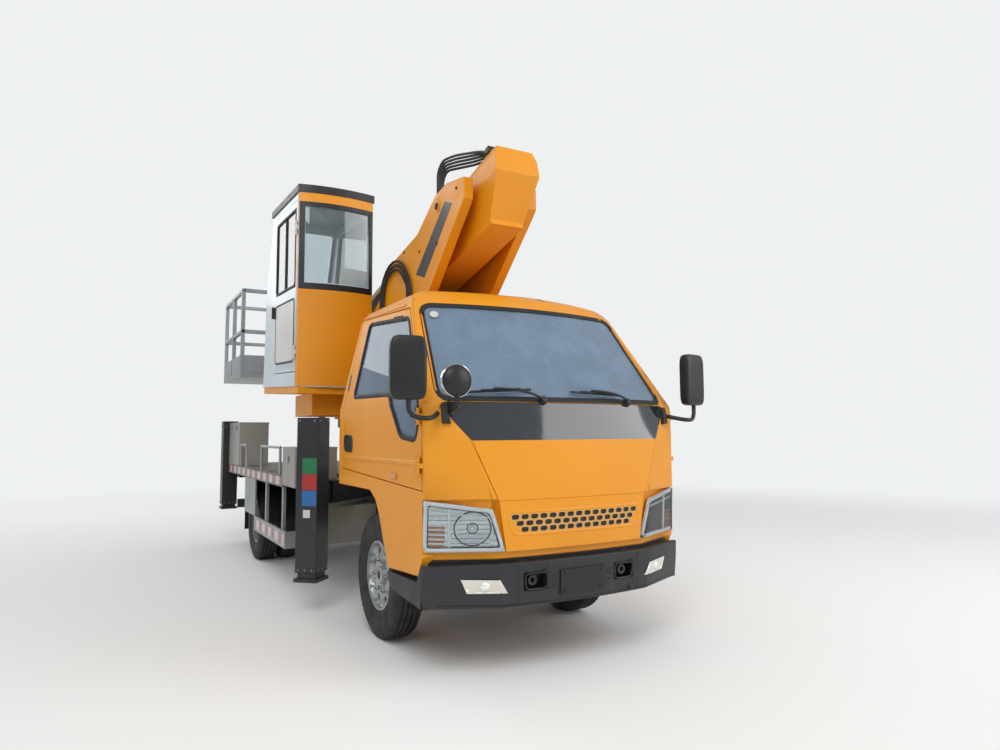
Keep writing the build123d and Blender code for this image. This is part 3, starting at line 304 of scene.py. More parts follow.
@dataclass(frozen=True)
class Glazing(Finish):
    """Toughened float glass: clear, faintly green-blue, under a diffuse layer that is a thin film of dust on
    the clear glass, and mostly a painted reflection of a blue sky on the door glass and the windscreen.
    """

    colour: str = "#F0F5F6"
    # How much of the pane a diffuse layer covers, and that layer's colour: dust on the clear glass, and
    # mostly a painted reflection of a blue sky on the tinted panes
    film: float = 0.06
    haze: str = "#C9CED2"

    def shader(self, tree: Tree, spot: Socket) -> Socket:
        """Build a see-through pane that keeps its reflections, under an uneven diffuse layer of dust and
        painted sky reflection.

        Args:
            tree: The material's nodes.
            spot: The place on the surface.

        Returns:
            The shader.
        """
        # Painted sky reflection and dust: a diffuse layer mixed over the pane in uneven clouds
        film = soft_pattern(tree, spot, 180, 5, self.film * 0.7, self.film)
        pane = mirroring_pane(tree, self.colour, 1.52, 0.02)
        dust_and_painted_sky_layer = add_node(tree, "BsdfDiffuse", {"Color": linear(self.haze)})
        return add_node(tree, "MixShader",
                        links={0: film, 1: pane, 2: dust_and_painted_sky_layer.outputs[0]}).outputs[0]


@dataclass(frozen=True)
class LampLens(Finish):
    """Clear moulded acrylic over a lamp, with a faint tint."""

    colour: str

    def shader(self, tree: Tree, spot: Socket) -> Socket:
        """Build a glossy see-through skin."""
        return mirroring_pane(tree, self.colour, 1.49, 0.04)


@dataclass(frozen=True)
class TreadPlate(Finish):
    """Galvanised chequer plate: short raised bars in two directions, bar_mm apart."""

    colour: str = "#8C8B88"
    worn: str = "#6E6A64"
    bar_mm: float = 32.0
    slimness: float = 0.45

    def shader(self, tree: Tree, spot: Socket) -> Socket:
        """Build the bars from two crossed stretched patterns of cells, the higher one counting.

        Args:
            tree: The material's nodes.
            spot: The place on the surface.

        Returns:
            The shader.
        """
        tone = add_node(tree, "Mix",
                        {"data_type": "RGBA", 6: linear(self.colour), 7: linear(self.worn)},
                        {0: soft_pattern(tree, spot, 300, 6, 0, 1)}).outputs[2]
        heights = []
        for turn in (45.0, -45.0):
            mapped = add_node(tree, "Mapping",
                              {"Rotation": (0, 0, radians(turn)),
                               "Scale": (per_metre(self.bar_mm), per_metre(self.bar_mm * self.slimness), 1)},
                              {"Vector": spot})
            bars = add_node(tree, "TexVoronoi",
                            {"feature": "F1", "Scale": 1, "Randomness": 0, "voronoi_dimensions": "2D"},
                            {"Vector": mapped.outputs[0]})
            heights.append(add_node(tree, "MapRange",
                                    {"From Min": 0.16, "From Max": 0.3, "To Min": 1, "To Max": 0},
                                    {"Value": bars.outputs["Distance"]}).outputs["Result"])
        both = add_node(tree, "Math", {"operation": "MAXIMUM"}, dict(enumerate(heights)))
        bump = add_node(tree, "Bump", {"Strength": 0.6, "Distance": 1.5 * MM},
                        {"Height": both.outputs[0]})
        return add_node(tree, "BsdfPrincipled", {"Metallic": 0.6, "Roughness": 0.5},
                        {"Base Color": tone, "Normal": bump.outputs["Normal"]}).outputs[0]


@dataclass(frozen=True)
class ReflectiveTape(Finish):
    """Red and white retroreflective tape, in blocks of block_mm along the vehicle."""

    block_mm: float = 140.0

    def shader(self, tree: Tree, spot: Socket) -> Socket:
        """Build red and white blocks from the place along Y, a little worn.

        Args:
            tree: The material's nodes.
            spot: The place on the surface.

        Returns:
            The shader.
        """
        along = add_node(tree, "SeparateXYZ", links={0: spot}).outputs["Y"]
        cycle = add_node(tree, "Math", {"operation": "MULTIPLY", 1: per_metre(2 * self.block_mm)},
                         {0: along})
        share = add_node(tree, "Math", {"operation": "FRACT"}, {0: cycle.outputs[0]})
        red = add_node(tree, "Math", {"operation": "GREATER_THAN", 1: 0.5},
                       {0: share.outputs[0]})
        tone = add_node(tree, "Mix",
                        {"data_type": "RGBA", 6: linear("#C9C4BC"), 7: linear("#8E2A2A")},
                        {0: red.outputs[0]}).outputs[2]
        worn = add_node(tree, "Mix", {"data_type": "RGBA", 7: linear("#8A8278")},
                        {0: soft_pattern(tree, spot, 60, 6, 0, 0.35), 6: tone}).outputs[2]
        return add_node(tree, "BsdfPrincipled", {"Roughness": 0.35, "Coat Weight": 0.3},
                        {"Base Color": worn}).outputs[0]


@dataclass(frozen=True)
class TyreRubber(Finish):
    """Vulcanised carbon-black rubber, greyed by road dust in blotches."""

    colour: str = "#1D1D1F"

    def shader(self, tree: Tree, spot: Socket) -> Socket:
        """Build dull rubber with fine moulded grain.

        Args:
            tree: The material's nodes.
            spot: The place on the surface.

        Returns:
            The shader.
        """
        tone = add_node(tree, "Mix",
                        {"data_type": "RGBA", 6: linear(self.colour), 7: linear("#4A4742")},
                        {0: soft_pattern(tree, spot, 70, 6, 0, 0.55)}).outputs[2]
        return add_node(tree, "BsdfPrincipled", {"Roughness": 0.78},
                        {"Base Color": tone, "Normal": moulded_grain(tree, spot, 3, 0.2, 3)}).outputs[0]


# Baked yellow-orange enamel of the bodywork and the boom, satin under a thin clear film
BODY_ENAMEL = Coating("yellow_enamel", "#E9980A", "#DF8E06", 0.45, coat=0.05, grain_mm=3,
                      grain_depth=0.02, cloud_mm=900, dust=0.08)
# White enamel of the operator's cabin, a little bluish
CABIN_ENAMEL = Coating("white_enamel", "#D3DEE4", "#C2CFD6", 0.38, coat=0.3, grain_mm=3, grain_depth=0.02)
# Near-black satin enamel of the jack tubes, housings and pedestal
JACK_ENAMEL = Coating("black_enamel", "#1D2126", "#16191E", 0.42, coat=0.15, grain_mm=5, dust=0.08,
                      dust_top_mm=1100, grain_depth=0.05)
# Moulded grained polypropylene of the bumper, grey-black and dull
BUMPER_PLASTIC = Coating("grained_polypropylene", "#24262B", "#1E2025", 0.5, grain_mm=2.5,
                         grain_depth=0.25, dust=0.08, dust_top_mm=700)
# Injection-moulded black ABS of mirrors, handles and wipers, with a dull sheen
BLACK_ABS = Coating("black_abs", "#1A1B1D", "#141517", 0.4, grain_mm=2.5, grain_depth=0.12)
# Glossy dark panel under the windscreen, like smoked acrylic
SMOKED_ACRYLIC = Coating("smoked_acrylic", "#20262D", "#1A1F25", 0.08, coat=1)
# Extruded EPDM seals round the glass, flat black
SEAL_RUBBER = Coating("epdm_rubber", "#151617", "#1C1D1E", 0.6, grain_mm=3, grain_depth=0.1)
# Silver enamel of the pressed steel wheels, dulled by brake dust
WHEEL_ENAMEL = Coating("silver_enamel", "#BFC3C4", "#9DA1A2", 0.34, metallic=0.6, grain_mm=3,
                       grain_depth=0.06, cloud_mm=90, dust=0.15)
# Mill-finish aluminium extrusions of the bucket and the guards, softly shining
MILL_ALUMINIUM = Coating("mill_aluminium", "#A9ACAE", "#96999B", 0.42, metallic=0.85, grain_mm=2,
                         grain_depth=0.08, cloud_mm=250)
# Dark oily cast iron of axles, springs and the engine block
CAST_IRON = Coating("cast_iron", "#2B2927", "#3A3631", 0.7, metallic=0.3, grain_mm=3.5, grain_depth=0.5,
                    cloud_mm=120, dust=0.3)
# Black chassis paint, satin and dusty
CHASSIS_PAINT = Coating("chassis_paint", "#1F2021", "#2A2A2A", 0.55, grain_depth=0.15, dust=0.35)
# Hard-chromed ground rods and mirror glass, which reflect sharply
HARD_CHROME = Coating("hard_chrome", "#D5D7DA", "#C8CACD", 0.1, metallic=1)
# Zinc-plated fasteners, a grey gleam
ZINC = Coating("zinc_plate", "#9A9C98", "#838580", 0.38, metallic=0.9, grain_mm=1.5, grain_depth=0.05)
# Grey vinyl and cloth inside the cabs, quite dull
CAB_VINYL = Coating("grey_vinyl", "#3A3C40", "#303236", 0.65, grain_mm=2, grain_depth=0.3)
# Grey fleet paint of the lockers
LOCKER_ENAMEL = Coating("grey_enamel", "#99968F", "#86837C", 0.45, coat=0.15, grain_depth=0.06, dust=0.2,
                        dust_top_mm=1500)
# Amber polycarbonate of indicators and side markers
AMBER_LENS = Coating("amber_polycarbonate", "#D9791A", "#C96A12", 0.12, coat=1)
# Red polycarbonate of the tail lamps
RED_LENS = Coating("red_polycarbonate", "#B3201B", "#A01C18", 0.12, coat=1)
# Pale polycarbonate of the fog lamps
PALE_LENS = Coating("clear_polycarbonate", "#D7D2C4", "#C8C3B5", 0.12, coat=1)
# Cast vinyl film of the colour patches and the blank labels, smooth and even
RED_VINYL = Coating("red_vinyl", "#B5312C", "#A32A26", 0.35)
GREEN_VINYL = Coating("green_vinyl", "#1F7A4C", "#1A6C43", 0.35)
BLUE_VINYL = Coating("blue_vinyl", "#2E6FB0", "#28639F", 0.35)
PALE_VINYL = Coating("pale_vinyl", "#D9D9D4", "#C9C9C4", 0.4)
DARK_VINYL = Coating("dark_vinyl", "#26262A", "#2E2E33", 0.35)
# Rubber cover of the braided hydraulic hoses
HOSE_RUBBER = Coating("hose_rubber", "#18191A", "#232425", 0.5, grain_mm=2, grain_depth=0.2)
# Black roof plate of the operator's cabin, sprayed a little rough
ROOF_PLATE = Coating("black_roof_enamel", "#17130F", "#1F1A16", 0.5, coat=0.1, grain_mm=6,
                     grain_depth=0.1)
# Bright vacuum-metallised reflectors behind the lamps' lenses
LAMP_REFLECTOR = Coating("vacuum_metallised_plastic", "#F6F7F8", "#E9EBED", 0.14, metallic=0.5)
# Pale satin rims of the grille's openings
GRILLE_TRIM = Coating("satin_grille_plastic", "#B8A47C", "#AC9870", 0.4)
# Glass of the operator's cabin, almost clear
CLEAR_GLASS = Glazing("float_glass")
# Door glass that mirrors the sky, faintly blue, with a painted reflection of a blue sky: a diffuse blue layer
# over up to 42 per cent of it
TINTED_GLASS = Glazing("tinted_float_glass", "#C6D4DA", 0.42, "#8FA6C0")
# Laminated windscreen that mirrors the sky, paler than the door glass, with a painted reflection of a blue
# sky: a diffuse pale blue layer over up to 42 per cent of it
SCREEN_GLASS = Glazing("laminated_glass", "#D9E4E8", 0.42, "#9FB4CC")
DECK_PLATE = TreadPlate("chequer_plate")
SAFETY_TAPE = ReflectiveTape("safety_tape")
TYRE = TyreRubber("tyre_rubber")
CLEAR_LENS = LampLens("clear_acrylic", "#F2F6F7")


@cache
def material_of(finish: Finish) -> bpy.types.Material:
    """The finish's material, built on first use."""
    return finish.build()


def dress(piece: bpy.types.Object, finish: Finish) -> None:
    """Give a piece one finish all over."""
    piece.data.materials.clear()
    piece.data.materials.append(material_of(finish))


def dress_nodes(finish: Finish, *nodes: str) -> None:
    """Give CAD nodes that stay in view their finish."""
    for node in nodes:
        dress(FRAME["nodes"][node], finish)


def body_of(node: str) -> str:
    """The name of the body that holds a CAD node."""
    bodies = FRAME["record"]["behaviour"]["bodies"]
    return next(body for body, nodes in bodies.items() if node in nodes)


# Surfaces


def grid_faces(rows: int, columns: int, offset: int = 0, close_rows: bool = False,
               close_columns: bool = False) -> list[tuple[int, int, int, int]]:
    """Quads over a grid of points numbered row by row.

    Args:
        rows: How many rows of points.
        columns: How many points in a row.
        offset: The number of the first point.
        close_rows: Join the last row to the first.
        close_columns: Join each row's last point to its first.

    Returns:
        The faces as vertex numbers.
    """
    row, column = np.meshgrid(np.arange(rows if close_rows else rows - 1),
                              np.arange(columns if close_columns else columns - 1), indexing="ij")
    up, right = (row + 1) % rows, (column + 1) % columns
    quads = np.stack([row * columns + column, row * columns + right, up * columns + right,
                      up * columns + column], -1)
    return [tuple(quad) for quad in (quads.reshape(-1, 4) + offset).tolist()]


def capped_faces(rows: int, columns: int) -> list[tuple[int, ...]]:
    """Quads round a tube whose rings are the rows, and one face over each end."""
    ends = [tuple(range(columns)), tuple(range((rows - 1) * columns, rows * columns))]
    return grid_faces(rows, columns, close_columns=True) + ends


def bowed(start: np.ndarray, corner: np.ndarray, end: np.ndarray, count: int) -> np.ndarray:
    """Quadratic curves, one per row: (1-t)^2 start + 2t(1-t) corner + t^2 end, for t from 0 to 1.

    Args:
        start: Where each curve starts.
        corner: The point that each curve bends towards.
        end: Where each curve ends.
        count: How many points each curve has.

    Returns:
        The points of all curves, one after another.
    """
    t = np.linspace(0, 1, count)[None, :, None]
    points = (1 - t) ** 2 * start[:, None] + 2 * t * (1 - t) * corner[:, None] + t ** 2 * end[:, None]
    return points.reshape(-1, corner.shape[1])


def rounded(corners: Outline, radius: float) -> np.ndarray:
    """A closed outline with its corners turned into arcs.

    Each corner becomes a quadratic curve that starts and ends one radius from it, or 0.49 of the
    shorter side where that is less.

    Args:
        corners: The outline's corners.
        radius: How far from each corner the curve starts.

    Returns:
        The points as an array.
    """
    corners = np.asarray(corners, float)
    before, after = np.roll(corners, 1, 0) - corners, np.roll(corners, -1, 0) - corners
    run_in, run_out = (np.linalg.norm(run, axis=1)[:, None] for run in (before, after))
    reach = np.minimum(radius, 0.49 * np.minimum(run_in, run_out))
    return bowed(corners + before / run_in * reach, corners, corners + after / run_out * reach, 6)


def drawn_in(outline: Outline, inset: float) -> np.ndarray:
    """A closed outline with each side moved inwards by an inset.

    Each corner moves by the inset times the sum of its two sides' inward normals, over 1 plus their
    dot product.

    Args:
        outline: The corners, counter-clockwise.
        inset: How far the sides move.

    Returns:
        The new corners.
    """
    outline = np.asarray(outline, float)
    ahead = np.roll(outline, -1, 0) - outline
    ahead /= np.linalg.norm(ahead, axis=1)[:, None]
    inward = np.stack([-ahead[:, 1], ahead[:, 0]], 1)
    before = np.roll(inward, 1, 0)
    return outline + inset * (inward + before) / (1 + np.sum(inward * before, 1))[:, None]


def distance_along(line: np.ndarray) -> np.ndarray:
    """How far along a line each of its points lies."""
    return np.concatenate([[0], np.cumsum(np.linalg.norm(np.diff(line, axis=0), axis=1))])


def points_at(marks: np.ndarray, line: np.ndarray) -> np.ndarray:
    """The points of a line at these distances along it."""
    run = distance_along(line)
    return np.stack([np.interp(marks, run, line[:, k]) for k in range(line.shape[1])], 1)


def spaced(points: Sequence, step: float, closed: bool) -> np.ndarray:
    """The same line with points at even distances.

    Args:
        points: The line's points.
        step: The distance between the new points, or a little more.
        closed: The line ends where it starts.

    Returns:
        The new points.
    """
    points = np.asarray(points, float)
    line = np.concatenate([points, points[:1]]) if closed else points
    length = distance_along(line)[-1]
    return points_at(np.linspace(0, length, max(int(length / step), 2), endpoint=not closed), line)


def smooth_line(path: Sequence, step: float) -> np.ndarray:
    """A path with its corners rounded and its points at even distances.

    Each corner becomes a quadratic curve between the middles of its two runs, and the ends stay.

    Args:
        path: The path's corners.
        step: The distance between the new points, in metres.

    Returns:
        The new points.
    """
    path = np.asarray(path, float)
    middles = (path[1:] + path[:-1]) / 2
    line = np.concatenate([path[:1], bowed(middles[:-1], path[1:-1], middles[1:], 9), path[-1:]])
    length = distance_along(line)[-1]
    return points_at(np.linspace(0, length, max(int(length / step), 3) + 1), line)


@dataclass(frozen=True)
class Strip:
    """A round-topped strip: its width, its height, how deep its foot lies and its sections' spacing."""

    width: float
    height: float
    sunk: float = 1.5
    step: float = 25.0


@dataclass(frozen=True)
class Sheet:
    """How far a sheet's outer face stands from the skin, its thickness and its cells each way."""

    lift: float
    depth: float
    cells: tuple[int, int] = (8, 8)


class Builder:
    """Collects the surfaces of one piece and makes them a single object.

    Each method that adds a surface returns the builder, so that calls can follow one another.
    """

    def __init__(self) -> None:
        """Start with no surface."""
        self.points: list[np.ndarray] = []
        self.faces: list[tuple[int, ...]] = []
        self.count = 0

    def add(self, points: np.ndarray, faces: Sequence) -> Builder:
        """Add points with the faces over them.

        Args:
            points: Points in metres.
            faces: Each face as numbers counted from the first of these points.

        Returns:
            This builder.
        """
        flat = np.asarray(points, float).reshape(-1, 3)
        self.points.append(flat)
        self.faces.extend(tuple(int(i) + self.count for i in face) for face in faces)
        self.count += len(flat)
        return self

    def box(self, low: Sequence[float], high: Sequence[float]) -> Builder:
        """Add a plain box, for a piece that a Bevel modifier finishes.

        Args:
            low: Its corner with the lowest coordinates, in metres.
            high: The corner opposite.

        Returns:
            This builder.
        """
        corners = np.stack(np.meshgrid(*zip(low, high), indexing="ij"), -1)
        return self.add(corners, [(0, 1, 3, 2), (4, 6, 7, 5), (0, 4, 5, 1), (2, 3, 7, 6), (0, 2, 6, 4),
                                  (1, 5, 7, 3)])

    def prism(self, outline: np.ndarray, shift: np.ndarray) -> Builder:
        """Carry a closed flat outline along a vector, in metres, with both ends closed."""
        outline = np.asarray(outline, float)
        return self.add(np.concatenate([outline, outline + shift]), capped_faces(2, len(outline)))

    def tube(self, path: np.ndarray, radius: float, sides: int) -> Builder:
        """Carry a circle along a path, with flat ends.

        Each ring lies square to the path's direction there. Its first axis is the frame axis that the
        path follows least, less its part along the path, and its second is square to both.

        Args:
            path: The points in metres that the tube's middle passes through.
            radius: The tube's radius.
            sides: How many faces go round.

        Returns:
            This builder.
        """
        ahead = np.gradient(path, axis=0)
        ahead /= np.linalg.norm(ahead, axis=1)[:, None]
        up = np.eye(3)[np.abs(ahead).max(0).argmin()]
        first = up - ahead * (ahead @ up)[:, None]
        first /= np.linalg.norm(first, axis=1)[:, None]
        second = np.cross(ahead, first)
        turn = np.linspace(0, 2 * np.pi, sides, endpoint=False)[None, :, None]
        rings = path[:, None] + radius * MM * (np.cos(turn) * first[:, None] + np.sin(turn) * second[:, None])
        return self.add(rings, capped_faces(len(path), sides))

    def turned(self, profile: Outline, centre: Sequence[float],
               axis: Sequence[float], sides: int = 48, wave: Callable | None = None) -> Builder:
        """Turn a closed profile about an axis.

        A point of the profile is (distance along the axis, distance from it).

        Args:
            profile: The closed profile's points.
            centre: The point on the axis, in metres, that distances are counted from.
            axis: The axis's direction.
            sides: How many steps go round.
            wave: From the angle and the profile point's number to a change of its radius.

        Returns:
            This builder.
        """
        profile = np.asarray(profile, float)
        axis = np.asarray(axis, float) / np.linalg.norm(axis)
        first = np.cross(axis, [0.0, 0.0, 1.0] if abs(axis[2]) < 0.9 else [1.0, 0.0, 0.0])
        first /= np.linalg.norm(first)
        second = np.cross(axis, first)
        turn = np.linspace(0, 2 * np.pi, sides, endpoint=False)[:, None]
        radius = np.repeat(profile[None, :, 1], sides, 0)
        if wave is not None:
            radius = radius + wave(turn, np.arange(len(profile))[None, :])
        turn = turn[..., None]
        rings = (np.asarray(centre, float) + MM * profile[None, :, 0, None] * axis
                 + MM * radius[..., None] * (np.cos(turn) * first + np.sin(turn) * second))
        return self.add(rings, grid_faces(sides, len(profile), close_rows=True, close_columns=True))

    def disc(self, low: float, high: float, radius: float, centre: Sequence[float],
             axis: Sequence[float], sides: int = 32, top: float | None = None) -> Builder:
        """Add a round solid between two places on an axis.

        Args:
            low: Where it starts on the axis.
            high: Where it ends.
            radius: Its radius where it starts.
            centre: The point on the axis, in metres, that places are counted from.
            axis: The axis's direction.
            sides: How many faces go round.
            top: Its radius where it ends, if that differs.

        Returns:
            This builder.
        """
        return self.turned([(low, POLE_MM), (low, radius), (high, top or radius), (high, POLE_MM)], centre,
                           axis, sides)

    def bolt(self, foot: np.ndarray, axis: Sequence[float], radius: float, height: float) -> Builder:
        """Add a six-sided bolt head with a chamfered top, its foot in metres."""
        return self.turned([(-1, POLE_MM), (-1, radius), (height * 0.8, radius),
                            (height, radius * 0.85), (height, POLE_MM)], foot, axis, 6)

    def pillow(self, centre: np.ndarray, reach: np.ndarray, turn_deg: float, power: float) -> Builder:
        """Add a rounded box turned about Z.

        At angles a up and b round, x, y and z are the reach times cos(a)^p cos(b)^p, cos(a)^p sin(b)^p and
        sin(a)^p, with each power taken of the size and given the sign.

        Args:
            centre: Its middle, in metres.
            reach: Half its size each way.
            turn_deg: How far it is turned.
            power: The power p: 1 is an ellipsoid, and towards 0 it becomes a box.

        Returns:
            This builder.
        """
        rows, columns = 24, 48
        up = np.linspace(-np.pi / 2, np.pi / 2, rows)[:, None]
        turn = np.linspace(0, 2 * np.pi, columns, endpoint=False)[None]

        def bent(value: np.ndarray) -> np.ndarray:
            """The signed power."""
            return np.sign(value) * np.abs(np.where(np.abs(value) < 1e-9, 0.0, value)) ** power

        x = bent(np.cos(up)) * bent(np.cos(turn)) * reach[0]
        y = bent(np.cos(up)) * bent(np.sin(turn)) * reach[1]
        z = bent(np.sin(up)) * reach[2] * np.ones_like(turn)
        cosine, sine = np.cos(radians(turn_deg)), np.sin(radians(turn_deg))
        points = np.stack([x * cosine - y * sine, x * sine + y * cosine, z], -1) * MM
        return self.add(points + centre, grid_faces(rows, columns, close_columns=True))

    def bead(self, outline: Sequence, spot: Spot, strip: Strip, closed: bool = True) -> Builder:
        """Lay a round-topped strip on a skin along a flat outline.

        The strip's section is half an ellipse: across runs from -1 to 1 and the lift is the height times
        the square root of 1 minus across squared.

        Args:
            outline: The strip's middle line, as flat places that spot understands.
            spot: The skin.
            strip: The strip's section.
            closed: The line ends where it starts.

        Returns:
            This builder.
        """
        line = spaced(outline, strip.step, closed)
        ahead = (np.roll(line, -1, 0) - np.roll(line, 1, 0)) if closed else np.gradient(line, axis=0)
        ahead /= np.maximum(np.linalg.norm(ahead, axis=1)[:, None], 1e-9)
        aside = np.stack([-ahead[:, 1], ahead[:, 0]], 1)
        across = np.array([-1.0, -1.0, -0.7, 0.0, 0.7, 1.0, 1.0])
        shoulder = 0.71 * strip.height
        lift = np.array([-strip.sunk, 0.0, shoulder, strip.height, shoulder, 0.0, -strip.sunk]) * MM
        flat = line[:, None] + aside[:, None] * across[None, :, None] * strip.width / 2
        points, outward = spot(flat.reshape(-1, 2))
        middle = outward.reshape(-1, len(across), 3)[:, 3:4]
        rings = points.reshape(-1, len(across), 3) + middle * lift[None, :, None]
        if closed:
            return self.add(rings, grid_faces(*rings.shape[:2], close_rows=True, close_columns=True))
        return self.add(rings, capped_faces(*rings.shape[:2]))

    def patch(self, corners: Outline, spot: Spot, sheet: Sheet) -> Builder:
        """Lay a closed sheet on a skin over a four-sided flat outline.

        A place at shares s and t is the corners' mix with weights (1-s)(1-t), s(1-t), st and (1-s)t.

        Args:
            corners: The four flat corners, in order round the sheet.
            spot: The skin.
            sheet: The sheet's lift, thickness and cells.

        Returns:
            This builder.
        """
        rows, columns = sheet.cells[0] + 1, sheet.cells[1] + 1
        s, t = np.meshgrid(np.linspace(0, 1, columns), np.linspace(0, 1, rows))
        weights = np.stack([(1 - s) * (1 - t), s * (1 - t), s * t, (1 - s) * t], -1)
        points, outward = spot((weights @ np.asarray(corners, float)).reshape(-1, 2))
        outer = points + outward * sheet.lift * MM
        inner = points + outward * (sheet.lift - sheet.depth) * MM
        count = rows * columns
        numbers = np.arange(count).reshape(rows, columns)
        rim = np.concatenate([numbers[0], numbers[1:, -1], numbers[-1, -2::-1], numbers[-2:0:-1, 0]])
        faces = grid_faces(rows, columns)
        faces += [face[::-1] for face in grid_faces(rows, columns, count)]
        faces += [(p, q, q + count, p + count) for p, q in zip(rim, np.roll(rim, -1))]
        return self.add(np.concatenate([outer, inner]), faces)

    def finish(self, name: str, finish: Finish, body: str, smooth: float | None = 40.0,
               bevel: float = 0.0) -> bpy.types.Object:
        """Make the collected surfaces one object.

        Args:
            name: The piece's name.
            finish: The finish that covers it.
            body: The body that it rides on.
            smooth: Edges flatter than this many degrees are shaded round, or None for flat faces.
            bevel: The width of a Bevel modifier, or 0 for none.

        Returns:
            The new object.
        """
        mesh = bpy.data.meshes.new(name)
        mesh.from_pydata(np.concatenate(self.points).tolist(), [], [list(face) for face in self.faces])
        work = bmesh.new()
        work.from_mesh(mesh)
        bmesh.ops.remove_doubles(work, verts=work.verts, dist=1e-6)
        bmesh.ops.recalc_face_normals(work, faces=work.faces)
        work.to_mesh(mesh)
        work.free()
        if smooth is not None:
            mesh.shade_smooth()
            mesh.set_sharp_from_angle(angle=radians(smooth))
        piece = bpy.data.objects.new(name, mesh)
        bpy.context.scene.collection.objects.link(piece)
        dress(piece, finish)
        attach(piece, body)
        if bevel:
            round_edges(piece, bevel)
        return piece


def round_edges(piece: bpy.types.Object, width: float, weighted: bool = False) -> None:
    """Round a piece's edges with a Bevel modifier.

    Args:
        piece: The object.
        width: The bevel's width.
        weighted: Round the edges with a bevel weight, and else all that turn by over 35 degrees.
    """
    bevel = piece.modifiers.new("Bevel", "BEVEL")
    bevel.width = width * MM
    bevel.segments = 3 if weighted else 2
    bevel.limit_method = "WEIGHT" if weighted else "ANGLE"
    bevel.angle_limit = radians(35)
    bevel.use_clamp_overlap = not weighted
    bevel.harden_normals = True


def softened(node: str, finish: Finish, width: float, shortest: float = 60.0,
             zones: Sequence[tuple[Finish, Callable]] = ()) -> None:
    """Stand a copy with rounded edges in a CAD node's place.

    The copy's double points are merged and its flat faces made whole. Edges longer than the shortest
    that turn by more than 12 degrees get a bevel.

    Args:
        node: The CAD node.
        finish: The finish that covers the copy.
        width: The bevel's width.
        shortest: The shortest edge that is rounded.
        zones: Pairs of a finish and a function from the faces' middles to the faces that wear it.
    """
    mesh = FRAME["nodes"][node].data.copy()
    work = bmesh.new()
    work.from_mesh(mesh)
    bmesh.ops.remove_doubles(work, verts=work.verts, dist=2e-5)
    bmesh.ops.dissolve_limit(work, angle_limit=radians(1.0), verts=work.verts, edges=work.edges)
    weight = work.edges.layers.float.new("bevel_weight_edge")
    for edge in work.edges:
        if len(edge.link_faces) == 2 and edge.calc_length() > shortest * MM:
            edge[weight] = 1.0 if edge.calc_face_angle(0.0) > radians(12) else 0.0
    work.to_mesh(mesh)
    work.free()
    mesh.shade_smooth()
    mesh.set_sharp_from_angle(angle=radians(35))
    piece = bpy.data.objects.new(f"{node}_dressed", mesh)
    bpy.context.scene.collection.objects.link(piece)
    round_edges(piece, width, weighted=True)
    dress(piece, finish)
    middles = np.zeros(len(mesh.polygons) * 3)
    mesh.polygons.foreach_get("center", middles)
    slots = np.zeros(len(mesh.polygons), dtype=np.int32)
    for number, (zone_finish, belongs) in enumerate(zones, 1):
        mesh.materials.append(material_of(zone_finish))
        slots[belongs(middles.reshape(-1, 3))] = number
    mesh.polygons.foreach_set("material_index", slots)
    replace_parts(piece, node)
    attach(piece, body_of(node))


